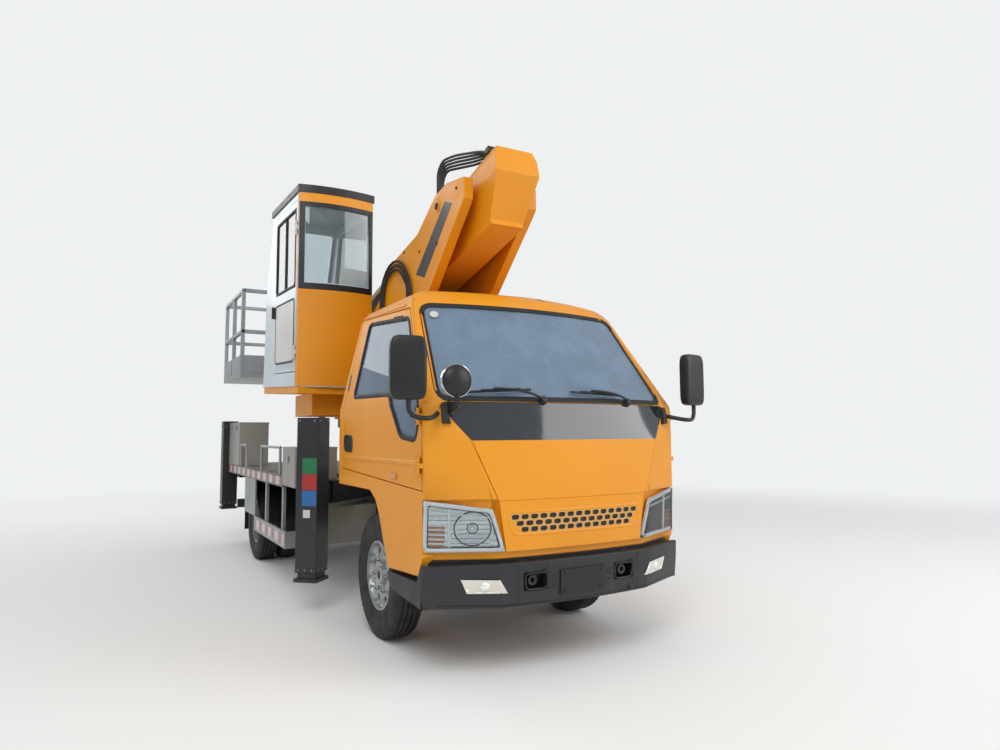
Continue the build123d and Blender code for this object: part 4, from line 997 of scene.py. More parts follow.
class Skin:
    """The outside of some CAD nodes, onto which trim is dropped along the X or Y axis."""

    PANE_DEPTH = 8.0
    PAIRS_AT_ONCE = 1_500_000

    def __init__(self, *nodes: str, panes: Sequence[str] = ()) -> None:
        """Take the triangles of the named nodes.

        Args:
            nodes: The CAD nodes whose outside is wanted.
            panes: Nodes of glass that lie PANE_DEPTH under the same outside.
        """
        corners, rises = [], []
        for node in (*nodes, *panes):
            mesh = FRAME["nodes"][node].data
            flat = np.zeros(len(mesh.vertices) * 3)
            mesh.vertices.foreach_get("co", flat)
            mesh.calc_loop_triangles()
            index = np.zeros(len(mesh.loop_triangles) * 3, dtype=np.int32)
            mesh.loop_triangles.foreach_get("vertices", index)
            corners.append(flat.reshape(-1, 3)[index.reshape(-1, 3)])
            rises.append(np.full(len(index) // 3, self.PANE_DEPTH * MM if node in panes else 0.0))
        self.corners = np.concatenate(corners)
        self.rises = np.concatenate(rises)

    def drop(self, flat: np.ndarray, axis: int, sign: int) -> Hits:
        """Follow parallel rays to the skin.

        A ray meets a triangle where its shares s and t of the triangle's two edges, seen along the
        axis, are at least 0 and add up to at most 1. The first triangle along the ray counts. A ray that
        misses takes its depth from the nearest one that meets the skin.

        Args:
            flat: The rays' places on the other two axes, in metres.
            axis: The axis that the rays run along, 0 for X or 1 for Y.
            sign: 1 where they run towards higher values, or -1.

        Returns:
            The points that they meet and the outward normals there.
        """
        flat = np.asarray(flat, float).reshape(-1, 2)
        other = [k for k in range(3) if k != axis]
        seen = self.corners[:, :, other]
        near = np.all((seen.max(1) >= flat.min(0)) & (seen.min(1) <= flat.max(0)), axis=1)
        seen, corners = seen[near], self.corners[near]
        depths = corners[:, :, axis] * sign
        first, second = seen[:, 1] - seen[:, 0], seen[:, 2] - seen[:, 0]
        area = first[:, 0] * second[:, 1] - first[:, 1] * second[:, 0]
        area = np.where(np.abs(area) < 1e-12, np.nan, area)
        normal = np.cross(corners[:, 1] - corners[:, 0], corners[:, 2] - corners[:, 0])
        normal /= np.maximum(np.linalg.norm(normal, axis=1), 1e-12)[:, None]
        normal *= np.where(normal[:, axis] * sign > 0, -1.0, 1.0)[:, None]
        depth = np.full(len(flat), np.inf)
        pick = np.zeros(len(flat), dtype=int)
        parts = max(1, len(flat) * max(len(area), 1) // self.PAIRS_AT_ONCE)
        for rows in np.array_split(np.arange(len(flat)), parts):
            away = flat[rows][:, None] - seen[None, :, 0]
            with np.errstate(invalid="ignore", divide="ignore"):
                s = (away[..., 0] * second[:, 1] - away[..., 1] * second[:, 0]) / area
                t = (first[:, 0] * away[..., 1] - first[:, 1] * away[..., 0]) / area
                hit = (s >= -1e-7) & (t >= -1e-7) & (s + t <= 1 + 1e-7)
                reach = depths[:, 0] + s * (depths[:, 1] - depths[:, 0]) + t * (depths[:, 2] - depths[:, 0])
            reach = np.where(hit, reach, np.inf)
            pick[rows] = reach.argmin(1)
            depth[rows] = reach.min(1)
        lost = ~np.isfinite(depth)
        if lost.any():
            found = np.flatnonzero(~lost)
            gap = np.linalg.norm(flat[lost][:, None] - flat[found][None], axis=2)
            nearest = found[gap.argmin(1)]
            depth[lost], pick[lost] = depth[nearest], pick[nearest]
        points = np.zeros((len(flat), 3))
        points[:, other], points[:, axis] = flat, depth * sign
        outward = normal[pick]
        return points + outward * self.rises[near][pick][:, None], outward

    def front(self, flat: Sequence) -> Hits:
        """The skin seen from ahead at places (across, up)."""
        return self.drop(np.asarray(flat, float) * MM, 1, 1)

    def rear(self, flat: Sequence) -> Hits:
        """The skin seen from behind at places (across, up)."""
        return self.drop(np.asarray(flat, float) * MM, 1, -1)

    def outwards(self, side: Side) -> Spot:
        """The skin seen from ahead at places across, counted towards one side, and up."""
        return lambda flat: self.front(np.asarray(flat, float) * (side.value, 1.0))

    def beside(self, side: Side, rise: float = 0.0, level_at: float = 0.0) -> Spot:
        """The skin seen from one side at places (behind the front axle, up).

        Args:
            side: The side.
            rise: How much the heights rise for each millimetre behind the level place.
            level_at: The place whose heights are level.

        Returns:
            A function from flat places to points and normals.
        """
        def spot(flat: Sequence) -> Hits:
            """The points and normals at flat places."""
            y, z = np.asarray(flat, float).reshape(-1, 2).T
            return self.drop(np.stack([behind(y), (z + (y - level_at) * rise) * MM], 1), 0, -side.value)

        return spot


@dataclass(frozen=True)
class Cab:
    """The truck's cab: enamel shell, front, glass, seals, lamps, wipers, mirrors and inside.

    Outlines are (across, up) seen from ahead, or (behind the front axle, up) seen from the side. Those
    of the lamps and the bumper's openings are counted outwards from the middle.
    """

    body: str = "chassis"
    screen: tuple = ((-779, 1470), (779, 1470), (700, 2060), (-700, 2060))
    screen_corner: float = 70.0
    screen_seal: Strip = Strip(30, 4, sunk=10, step=22)
    door_window: tuple = ((-835, 1250), (-870, 1330), (-872, 1460), (-480, 1978),
                          (262, 2040), (292, 1535), (-400, 1520), (-610, 1272))
    window_corner: float = 40.0
    window_seal: Strip = Strip(26, 4, sunk=9, step=16)
    sticker: tuple = (-640, 1990)
    sticker_radius: float = 26.0
    # Each wiper: its hub, its arm's tip, and the inner and outer ends of its blade
    wipers: tuple = (((-190, 1462), (-470, 1512), (-610, 1500), (-240, 1520)),
                     ((430, 1462), (160, 1512), (20, 1512), (390, 1500)))
    wiper_hub: tuple = ((0, POLE_MM), (0, 24), (30, 20), (38, POLE_MM))
    wiper_lift: float = 30.0
    wiper_bow: float = 20.0
    hole_rows: tuple = ((842, 15), (808, 14), (775, 13))
    hole_pitch: float = 57.5
    hole_half: tuple = (23.5, 14.5)
    hole_rim: Strip = Strip(3.6, 1, sunk=3, step=6)
    grille_border: tuple = ((-412, 748), (412, 748), (452, 868), (-452, 868))
    grille_bead: Strip = Strip(16, 2.5)
    grille_mesh: Sheet = Sheet(-7, 4, (6, 24))
    lens: tuple = ((460, 668), (864, 672), (864, 938), (532, 889))
    lens_sheet: Sheet = Sheet(0.5, 2, (10, 18))
    reflector_gap: float = 17.0
    reflector_sheet: Sheet = Sheet(0, 1.5, (70, 90))
    bowl: tuple = (628, 790)
    bowl_radius: float = 88.0
    bulb: tuple = ((0, POLE_MM), (0, 17), (5, 12), (7, POLE_MM))
    bulb_ring: float = 26.0
    # Each bright bar inside a lamp: its two ends and its strip
    lamp_bars: tuple = ((((738, 690), (742, 905)), Strip(12, -2, sunk=8)),
                        (((556, 846), (852, 884)), Strip(9, -2, sunk=8)))
    # The louvres' and ribs' heights, and where they start and end. Louvres over long_above run on
    louvres: tuple = (712, 860, 24)
    louvre_ends: tuple = (545, 730, 862)
    long_above: float = 830.0
    amber_ribs: tuple = (700, 820, 24)
    rib_ends: tuple = (760, 846)
    # How much higher a louvre or rib ends than it starts
    lamp_rise: float = 4.0
    fog: tuple = ((462, 457), (505, 527), (694, 534), (662, 462))
    fog_sheet: Sheet = Sheet(4, 8, (10, 30))
    fog_bulb: tuple = (578, 496)
    fog_bowl: tuple = ((0, POLE_MM), (0, 26), (9, 22), (14, 12), (16, POLE_MM))
    towing: tuple = ((228, 462), (228, 548), (366, 546), (356, 462))
    opening_rim: Strip = Strip(12, 4)
    seam: Strip = Strip(4, 1)
    bumper_seam: tuple = ((405, 396), (405, 604))
    # Each vent slot: both ends out from the middle, and its height
    vent: tuple = (172, 200, 13)
    vent_heights: tuple = (462, 490, 518)
    filler: tuple = oblong(-850, 850, 400, 690)
    plate: tuple = oblong(-149, 149, 420, 552)
    plate_bolts: tuple = ((-120, 440), (-120, 534), (120, 440), (120, 534))
    plate_sheet: Sheet = Sheet(9, 6, (2, 4))
    lip: tuple = ((-800, 400), (-440, 392), (0, 388), (440, 392), (800, 400))
    crease: tuple = ((-900, 1128), (480, 1128))
    gutter: tuple = ((470, 2108), (-383, 2072))
    handle: tuple = ((262, 1168), (262, 1272), (432, 1280), (432, 1176))
    handle_cup: tuple = ((268, 1174), (426, 1182), (426, 1272), (268, 1266))
    marker: tuple = ((-560, 1030), (-470, 1036), (-470, 1064), (-560, 1058))
    pillar_slot: tuple = ((430, 1590), (462, 1590), (466, 1700), (434, 1700))
    mirror_foot: tuple = ((730, 1340), (776, 1340), (776, 1440), (752, 1440))
    mirror_middle: tuple = (985, -1020, 1625)
    mirror_reach: tuple = (95, 37.5, 165)
    mirror_turn: float = 12.0
    mirror_arm: tuple = ((780, -940, 1400), (880, -1085, 1360), (985, -1030, 1375), (985, -1030, 1470))
    kerb_arm: tuple = ((-740, -950, 1390), (-745, -1108, 1430), (-745, -1108, 1500))
    arm_radius: float = 13.0
    arm_step: float = 30.0
    dome: tuple = (-745, -1095, 1560)
    dome_radius: float = 88.0
    dome_height: float = 40.0

    def build(self) -> None:
        """Dress the shell and add all trim."""
        skin = Skin("cab_shell", "front_panel", "front_band", "door_left", "door_right", "headlamps",
                    panes=("cab_glass", "door_glass_left", "door_glass_right"))
        self.shell()
        self.seals(skin)
        self.wiper_pair(skin)
        self.grille()
        self.lamps()
        self.bumper()
        self.side_trim(skin)
        self.mirrors()

    def shell(self) -> None:
        """Enamel on the shell, doors and front panel, and the inside's vinyl."""
        softened("cab_shell", BODY_ENAMEL, 9, 70)
        for side in Side:
            softened(f"door_{side}", BODY_ENAMEL, 3)
            dress_nodes(TINTED_GLASS, f"door_glass_{side}")
        dress_nodes(BODY_ENAMEL, "front_panel")
        dress_nodes(SMOKED_ACRYLIC, "front_band")
        dress_nodes(SCREEN_GLASS, "cab_glass")
        softened("cab_interior", CAB_VINYL, 18)

    def seals(self, skin: Skin) -> None:
        """Rubber seals round the windscreen and the door windows, and a blank round sticker.

        Args:
            skin: The cab's outside.
        """
        Builder().bead(rounded(self.screen, self.screen_corner), skin.front, self.screen_seal).finish(
            "windscreen_seal", SEAL_RUBBER, self.body)
        for side in Side:
            outline = rounded(self.door_window, self.window_corner)
            Builder().bead(outline, skin.beside(side), self.window_seal).finish(
                f"door_window_seal_{side}", SEAL_RUBBER, f"door_{side}")
        points, outward = skin.front([self.sticker])
        Builder().disc(-2, 0.6, self.sticker_radius, points[0], outward[0]).finish(
            "screen_sticker", PALE_VINYL, self.body)

    def wiper_pair(self, skin: Skin) -> None:
        """Two wipers parked on the windscreen, each a hub, an arm that bows out as a sine and a blade.

        Args:
            skin: The cab's outside.
        """
        arms = Builder()
        for hub, tip, inner, outer in np.array(self.wipers):
            base, outward = skin.front([hub])
            arms.turned(self.wiper_hub, base[0], outward[0], 20)
            share = np.linspace(0, 1, 9)[:, None]
            points, outward = skin.front(hub + (tip - hub) * share)
            lift = self.wiper_lift + self.wiper_bow * np.sin(np.pi * share)
            arms.tube(points + outward * lift * MM, 7, 8)
            points, outward = skin.front(inner + (outer - inner) * np.linspace(0, 1, 17)[:, None])
            arms.tube(points + outward * 12 * MM, 7, 6)
            arms.tube((points + outward * 22 * MM)[3:14], 6, 6)
        arms.finish("wipers", BLACK_ABS, self.body)

    def grille(self) -> None:
        """Black mesh sheet behind the grille's openings, their pale rims and the pressed border."""
        spot = Skin("front_panel").front
        Builder().patch(self.grille_border, spot, self.grille_mesh).finish(
            "grille_sheet", BLACK_ABS, self.body, 30)
        rims = Builder()
        half_x, half_z = self.hole_half
        for z, count in self.hole_rows:
            for x in (np.arange(count) - (count - 1) / 2) * self.hole_pitch:
                hole = oblong(x - half_x, x + half_x, z - half_z, z + half_z)
                rims.bead(rounded(hole, half_z), spot, self.hole_rim)
        rims.finish("grille_rims", GRILLE_TRIM, self.body)
        Builder().bead(rounded(self.grille_border, 24), spot, self.grille_bead).finish(
            "grille_border", BODY_ENAMEL, self.body)

    def reflector(self, spot: Spot) -> Spot:
        """The reflector's surface under a lamp's face.

        Inside the bowl its height is 14 times the squared share of the bowl's radius above the deepest
        level, with ripples of a sine of the angle. Outside it is square facets, each a product of two
        sines.

        Args:
            spot: The lamp's face.

        Returns:
            The reflector as a function from the same flat places.
        """
        def under(flat: np.ndarray) -> Hits:
            """Follow the reflector.

            Args:
                flat: Flat places on the lamp.

            Returns:
                The reflector's points there and the face's normals.
            """
            x, z = (np.asarray(flat) - self.bowl).T
            share = np.hypot(x, z) / self.bowl_radius
            ripples = 0.5 * np.sin(18 * np.arctan2(z, x)) * np.clip(share, 0, 1)
            bowl = np.minimum(14.0 * share ** 2 + ripples - self.reflector_gap, -2.0)
            across, up = np.asarray(flat).T
            facets = 7.0 - self.reflector_gap + 4.0 * np.abs(np.sin(across / 11.0) * np.sin(up / 13.0))
            points, outward = spot(flat)
            return points + outward * np.where(share < 1.0, bowl, facets)[:, None] * MM, outward

        return under

    def lamps(self) -> None:
        """Headlamps: reflector, dark rings and louvres and amber ribs under a clear lens."""
        skin = Skin("headlamps")
        turn = np.linspace(0, 2 * np.pi, 48, endpoint=False)
        ring = np.stack([np.cos(turn), np.sin(turn)], 1)
        for side in Side:
            spot = skin.outwards(side)
            under = self.reflector(spot)
            cover = Builder().patch(self.lens, spot, self.lens_sheet).finish(
                f"headlamp_lens_{side}", CLEAR_LENS, self.body, 60)
            if side is Side.LEFT:
                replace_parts(cover, "headlamps")
            shell = Builder().patch(self.lens, under, self.reflector_sheet)
            shell.bead(rounded(drawn_in(self.lens, 11), 12), spot, Strip(20, -1.5, sunk=8))
            for ends, strip in self.lamp_bars:
                shell.bead(ends, spot, strip, closed=False)
            points, outward = under(np.array([self.bowl]))
            shell.turned(self.bulb, points[0], outward[0], 24)
            shell.finish(f"headlamp_reflector_{side}", LAMP_REFLECTOR, self.body, 25)
            dark = Builder().bead(self.bowl + ring * self.bowl_radius, under, Strip(7, 2, step=12))
            dark.bead(self.bowl + ring * self.bulb_ring, under, Strip(6, 2, step=8))
            start, *ends = self.louvre_ends
            for z in range(*self.louvres):
                ray = [(start, z), (ends[z > self.long_above], z + self.lamp_rise)]
                dark.bead(ray, under, Strip(2.4, 1.6), closed=False)
            dark.bead(drawn_in(self.lens, 23), spot, Strip(4, -1, sunk=8))
            dark.finish(f"headlamp_shades_{side}", SEAL_RUBBER, self.body)
            amber = Builder()
            start, end = self.rib_ends
            for z in range(*self.amber_ribs):
                amber.bead([(start, z), (end, z + self.lamp_rise)], spot, Strip(11, -2.5, sunk=8),
                           closed=False)
            amber.finish(f"indicator_{side}", AMBER_LENS, self.body)

    def bumper(self) -> None:
        """Bumper with fog lamps, a blank number plate holder and lined towing openings."""
        softened("bumper", BUMPER_PLASTIC, 8, 50)
        spot = Skin("bumper").front
        Builder().patch(self.filler, spot, Sheet(-62, 4, (2, 48))).finish(
            "bumper_filler", BLACK_ABS, self.body, 30)
        rims, lens, glints = Builder(), Builder(), Builder()
        for side in Side:
            way = side.value
            fog, towing = (np.array(outline) * (way, 1.0) for outline in (self.fog, self.towing))
            rims.bead(rounded(fog, 12), spot, self.opening_rim)
            lens.patch(fog, spot, self.fog_sheet)
            rims.bead(rounded(towing, 20), spot, self.opening_rim)
            points, outward = spot([(way * self.fog_bulb[0], self.fog_bulb[1])])
            glints.turned(self.fog_bowl, points[0], outward[0], 32)
            glints.bead(drawn_in(fog, -7 * way), spot, Strip(5, 5.5, sunk=2))
            rims.bead(np.array(self.bumper_seam) * (way, 1), spot, self.seam, closed=False)
            near, far, height = self.vent
            for z in self.vent_heights:
                slot = oblong(way * near, way * far, z, z + height)
                rims.patch(slot, spot, Sheet(1.5, 4, (2, 2)))
        glints.finish("fog_lamp_reflectors", LAMP_REFLECTOR, self.body)
        lens.finish("fog_lamps", PALE_LENS, self.body)
        for point, outward in zip(*spot(self.plate_bolts)):
            rims.bolt(point + outward * self.plate_sheet.lift * MM, outward, 8, 5)
        Builder().patch(self.plate, spot, self.plate_sheet).finish(
            "number_plate_holder", BLACK_ABS, self.body, 30)
        rims.bead(self.lip, spot, Strip(8, 3), closed=False)
        rims.finish("bumper_trim", BLACK_ABS, self.body)

    def side_trim(self, skin: Skin) -> None:
        """Door handles, creases, rain gutters, side markers, mirror feet and slots behind the doors.

        Args:
            skin: The cab's outside.
        """
        for side in Side:
            spot, door = skin.beside(side), f"door_{side}"
            handle = Builder().bead(rounded(self.handle, 30), spot, Strip(14, 6))
            handle.patch(self.handle_cup, spot, Sheet(2, 4))
            handle.finish(f"door_handle_{side}", BLACK_ABS, door)
            Builder().bead(self.crease, spot, Strip(30, 5), closed=False).finish(
                f"door_crease_{side}", BODY_ENAMEL, door)
            Builder().bead(self.gutter, spot, Strip(20, 9), closed=False).finish(
                f"gutter_{side}", BODY_ENAMEL, self.body)
            Builder().patch(self.marker, spot, Sheet(9, 9, (4, 6))).finish(
                f"side_marker_{side}", AMBER_LENS, door)
            Builder().patch(self.pillar_slot, spot, Sheet(2, 4, (4, 2))).finish(
                f"rear_pillar_slot_{side}", BLACK_ABS, self.body, 30)
            Builder().patch(self.mirror_foot, skin.outwards(side), Sheet(26, 30, (6, 4))).finish(
                f"mirror_foot_{side}", BLACK_ABS, self.body, bevel=4)

    def mirrors(self) -> None:
        """Mirror arms, rounded housings with glass at their backs, and the round kerb mirror."""
        arms, glass = Builder(), Builder()
        reach = np.array(self.mirror_reach)
        across, along, up = self.mirror_middle
        for side in Side:
            centre = place(side.value * across, along, up)
            turn = side.value * self.mirror_turn
            rearwards = np.array([-np.sin(radians(turn)), np.cos(radians(turn)), 0.0])
            arms.pillow(centre, reach, turn, 0.32)
            glass.pillow(centre + rearwards * reach[1] * 0.86 * MM, reach * (0.86, 0.16, 0.9), turn, 0.25)
            path = [place(side.value * x, y, z) for x, y, z in self.mirror_arm]
            arms.tube(smooth_line(path, self.arm_step * MM), self.arm_radius, 14)
        arms.tube(smooth_line([place(*p) for p in self.kerb_arm], self.arm_step * MM), self.arm_radius, 14)
        centre, ahead, r = place(*self.dome), (0.0, -1.0, 0.0), self.dome_radius
        bend = np.linspace(0, np.pi / 2, 10)
        dome = np.stack([self.dome_height * np.sin(bend), np.maximum(r * 0.97 * np.cos(bend), POLE_MM)], 1)
        arms.turned(np.concatenate([[(-8, POLE_MM), (-8, r * 0.97)], dome]), centre, ahead)
        glass.turned([(-13, POLE_MM), (-11, r * 0.92), (-8, r * 0.92), (-8, POLE_MM)], centre, ahead)
        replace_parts(arms.finish("mirror_housings", BLACK_ABS, self.body), "mirrors")
        Builder().turned([(-12, r * 0.93), (-12, r), (4, r), (6, r * 0.95)], centre, ahead).finish(
            "kerb_mirror_rim", HARD_CHROME, self.body)
        glass.finish("mirror_glass", HARD_CHROME, self.body)


@dataclass(frozen=True)
class Axle:
    """The wheels of one axle: their names' parts, places, tyres' middles and ring of nuts."""

    end: str
    tyres: str
    x: float
    y: float
    centres: tuple
    nut_foot: float
    nut_ring: float


@dataclass(frozen=True)
class Wheels:
    """Tyres with tread, pressed wheels and nuts."""

    radius: float = 390.0
    # One sidewall of the tyre, from the bead up: along the axle from the tyre's middle, and the radius
    sidewall: tuple = ((-60, 216), (-78, 220), (-90, 240), (-97, 272), (-99, 305), (-96, 335), (-90, 352),
                       (-84, 372), (-76, 385))
    shoulder: tuple = (7, 8, -9, -8)
    grooves: tuple = (-52, -18, 18, 52)
    groove_steps: tuple = ((-5.5, 1), (-4, 11), (4, 11), (5.5, 1))
    notches: int = 60
    notch_depth: float = 6.0
    wall_rings: tuple = (318, 258)
    nuts: int = 6
    axles: tuple = (Axle("front", "tyre_front", 692, 0, (0,), 50, 104),
                    Axle("rear", "tyres_rear", 713, 3360, (-113.5, 113.5), 10, 110))

    def build(self) -> None:
        """Dress all wheels."""
        for side in Side:
            for axle in self.axles:
                self.tyre(axle, side)
            for axle in self.axles:
                softened(f"wheel_{axle.end}_{side}", WHEEL_ENAMEL, 1.5, 5000)
            for axle in self.axles:
                self.nut_ring(axle, side)
            dress_nodes(CAST_IRON, f"knuckle_{side}")

    def section(self, centre: float) -> np.ndarray:
        """The tyre's closed section, with grooves in its tread.

        Args:
            centre: Where the tyre's middle lies along the axle.

        Returns:
            The section's points.
        """
        tread = [(groove + step, self.radius - depth) for groove in self.grooves
                 for step, depth in self.groove_steps]
        other = [(-x, radius) for x, radius in reversed(self.sidewall)]
        return np.array([*self.sidewall, *tread, *other], float) + (centre, 0.0)

    def tyre(self, axle: Axle, side: Side) -> None:
        """Turn a tyre, or a pair, with notches in its shoulders.

        The radius falls by the notch depth where the sine of the angle times the number of notches is
        over a half.

        Args:
            axle: The wheel's axle.
            side: The vehicle's side.
        """
        made = Builder()
        hub = place(side.value * axle.x, axle.y, self.radius)
        for centre in axle.centres:
            section = self.section(centre)
            marks = np.zeros(len(section))
            marks[list(self.shoulder)] = self.notch_depth

            def notch(turn: np.ndarray, index: np.ndarray, falls: np.ndarray = marks) -> np.ndarray:
                """The change of the radius at each angle and section point."""
                return -falls[index] * (np.sin(self.notches * turn) > 0.5)

            made.turned(section, hub, side.way, 6 * self.notches, notch)
            wall = section[:len(self.sidewall)]
            for ring in self.wall_rings:
                reach = np.interp(ring, wall[:, 1], centre - wall[:, 0])
                made.turned([(reach - 1, ring - 4), (reach + 1.5, ring - 1), (reach + 1.5, ring + 1),
                             (reach - 1, ring + 4)], hub, side.way, 96)
        name = f"{axle.tyres}_{side}"
        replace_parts(made.finish(f"{name}_tread", TYRE, f"wheel_{axle.end}_{side}", 35), name)

    def nut_ring(self, axle: Axle, side: Side) -> None:
        """Nuts on their studs on a wheel's outer face.

        Args:
            axle: The wheel's axle.
            side: The vehicle's side.
        """
        made = Builder()
        for turn in np.arange(self.nuts) * 2 * np.pi / self.nuts:
            foot = place(side.value * (axle.x + axle.nut_foot), axle.y + axle.nut_ring * np.cos(turn),
                         self.radius + axle.nut_ring * np.sin(turn))
            made.bolt(foot, side.way, 15, 20).disc(0, 30, 7, foot, side.way, 12, 6)
        made.finish(f"wheel_nuts_{axle.end}_{side}", ZINC, f"wheel_{axle.end}_{side}", 30)


@dataclass(frozen=True)
class Jack:
    """One end's outrigger jacks: the end's name, their place, their turn and the tube's lower edge."""

    end: str
    y: float
    turn: float
    low: float


@dataclass(frozen=True)
class Chassis:
    """Frame, axles, tank, boxes, deck, guards and outriggers."""

    body: str = "chassis"
    half: float = 1000.0
    # Each run of tape: where it starts and ends behind the front axle, and its lower and upper edge
    tapes: tuple = ((1760, 4630, 858, 930), (1640, 2900, 380, 460))
    tape_depth: float = 3.0
    tape_proud: float = 1.2
    tail_ends: tuple = (610, 715, 780, 840)
    tail_gap: float = 5.0
    tail_heights: tuple = (418, 482)
    tail_sheet: Sheet = Sheet(5, 7, (6, 8))
    # Each lid and latch of the lockers: both ends out from the middle, behind the front axle and up
    locker_lids: tuple = (((676, 999), (3936, 4640), (1408, 1427)),)
    locker_latches: tuple = (((994, 1007), (4088, 4132), (1340, 1395)),
                             ((994, 1007), (4438, 4482), (1340, 1395)))
    # Two opposite corners of the cabinet's lid and of its latch
    cabinet_lid: tuple = ((-1001, 1296, 1172), (-656, 1742, 1184))
    cabinet_latch: tuple = ((-1008, 1500, 1060), (-996, 1540, 1110))
    jack_x: float = 980.0
    jacks: tuple = (Jack("front", 824, 45, 300), Jack("rear", 4740, 0, 455))
    jack_half: float = 85.0
    # The bolts on each face of a jack tube: across the face, up from its lower edge; and its top pair
    foot_bolts: tuple = ((-55, 22), (0, 22), (55, 22))
    top_bolts: tuple = ((-60, 1385), (60, 1385))
    # Each colour patch on the front jacks: its finish, lower edge, height, and both edges across
    patches: tuple = ((GREEN_VINYL, 1003, 113, -36, 82), (RED_VINYL, 888, 113, -36, 82),
                      (BLUE_VINYL, 774, 110, -36, 82), (PALE_VINYL, 690, 56, -24, 32))

    def build(self) -> None:
        """Dress the nodes and add tape, patches, bolts and lamps."""
        dress_nodes(CHASSIS_PAINT, "chassis_frame")
        dress_nodes(CAST_IRON, "front_axle", "rear_axle", "engine_block")
        softened("fuel_tank", CHASSIS_PAINT, 4)
        softened("storage_boxes", LOCKER_ENAMEL, 5)
        dress_nodes(DECK_PLATE, "deck")
        dress_nodes(MILL_ALUMINIUM, "side_guards")
        dress_nodes(BLACK_ABS, "mudguards")
        softened("outrigger_housings", JACK_ENAMEL, 4)
        softened("pedestal", JACK_ENAMEL, 4, 40)
        self.tape()
        self.tail_lamps()
        for side in Side:
            for jack in self.jacks:
                self.outrigger(jack, side)
            self.colour_patches(self.jacks[0], side)
        self.lockers()

    def tape(self) -> None:
        """Red and white tape along the deck's sides and the side guards."""
        made = Builder()
        for side in Side:
            for y0, y1, z0, z1 in self.tapes:
                x0, x1 = sorted((side.value * (self.half - self.tape_depth),
                                 side.value * (self.half + self.tape_proud)))
                made.box(place(x0, y0, z0), place(x1, y1, z1))
        made.finish("reflective_tape", SAFETY_TAPE, self.body, None)

    def tail_lamps(self) -> None:
        """Red, amber and clear tail lamps on the rear bar, inside a black frame."""
        spot = Skin("chassis_frame").rear
        frame = Builder()
        for side in Side:
            for finish, near, far in zip((RED_LENS, AMBER_LENS, PALE_LENS), self.tail_ends,
                                         self.tail_ends[1:]):
                corners = oblong(side.value * near, side.value * (far - self.tail_gap), *self.tail_heights)
                Builder().patch(corners, spot, self.tail_sheet).finish(
                    f"tail_{finish.name}_{side}", finish, self.body, 30, 1.5)
            corners = oblong(side.value * self.tail_ends[0], side.value * self.tail_ends[-1],
                             *self.tail_heights)
            frame.bead(rounded(corners, 8), spot, Strip(10, 4))
        frame.finish("tail_lamp_frames", BLACK_ABS, self.body)

    def lockers(self) -> None:
        """Lids and latches on the lockers and the cabinet."""
        lids, latches = Builder(), Builder()
        for side in Side:
            for made, boxes in ((lids, self.locker_lids), (latches, self.locker_latches)):
                for across, (y0, y1), (z0, z1) in boxes:
                    x0, x1 = sorted(side.value * x for x in across)
                    made.box(place(x0, y0, z0), place(x1, y1, z1))
        lids.box(*(place(*corner) for corner in self.cabinet_lid))
        latches.box(*(place(*corner) for corner in self.cabinet_latch))
        lids.finish("locker_lids", LOCKER_ENAMEL, self.body, 30, 3)
        latches.finish("locker_latches", ZINC, self.body, 30, 2)

    def on_jack(self, jack: Jack, side: Side, way: np.ndarray, flat: Sequence, lift: float) -> np.ndarray:
        """Points on one face of a jack tube.

        Args:
            jack: The jack's end of the vehicle.
            side: The vehicle's side.
            way: The direction out of the face.
            flat: Places across the face and up.
            lift: How far off the face they lie.

        Returns:
            The points in metres.
        """
        across = np.array([-way[1], way[0], 0.0])
        shift, height = np.asarray(flat, float).T[..., None]
        return (place(side.value * self.jack_x, jack.y, 0) + way * (self.jack_half + lift) * MM
                + across * shift * MM + np.array([0.0, 0.0, MM]) * height)

    def outrigger(self, jack: Jack, side: Side) -> None:
        """A jack's beam, tube and leg, and the bolts on the tube's four faces.

        Args:
            jack: The jack's end of the vehicle.
            side: The vehicle's side.
        """
        beam = f"{jack.end}_beam_{side}"
        softened(beam, JACK_ENAMEL, 5)
        dress_nodes(JACK_ENAMEL, f"{jack.end}_leg_{side}")
        bolts = Builder()
        spots = [(x, jack.low + z) for x, z in self.foot_bolts] + list(self.top_bolts)
        for turn in np.radians(jack.turn + np.arange(4) * 90.0):
            way = np.array([np.cos(turn), np.sin(turn), 0.0])
            for foot in self.on_jack(jack, side, way, spots, 0.0):
                bolts.bolt(foot, way, 8, 6)
        bolts.finish(f"{jack.end}_jack_bolts_{side}", ZINC, beam, 30)

    def colour_patches(self, jack: Jack, side: Side) -> None:
        """Colour patches on the two outer faces of a front jack.

        Args:
            jack: The jack's end of the vehicle.
            side: The vehicle's side.
        """
        for finish, low, height, x0, x1 in self.patches:
            made = Builder()
            for along in (-1.0, 1.0):
                way = np.array([side.value, along, 0.0]) * 0.70711
                corners = oblong(x0, x1, low, low + height)
                made.prism(self.on_jack(jack, side, way, corners, LABEL_LIFT_MM), way * LABEL_MM * MM)
            made.finish(f"{finish.name}_patch_{side}", finish, f"{jack.end}_beam_{side}", None)


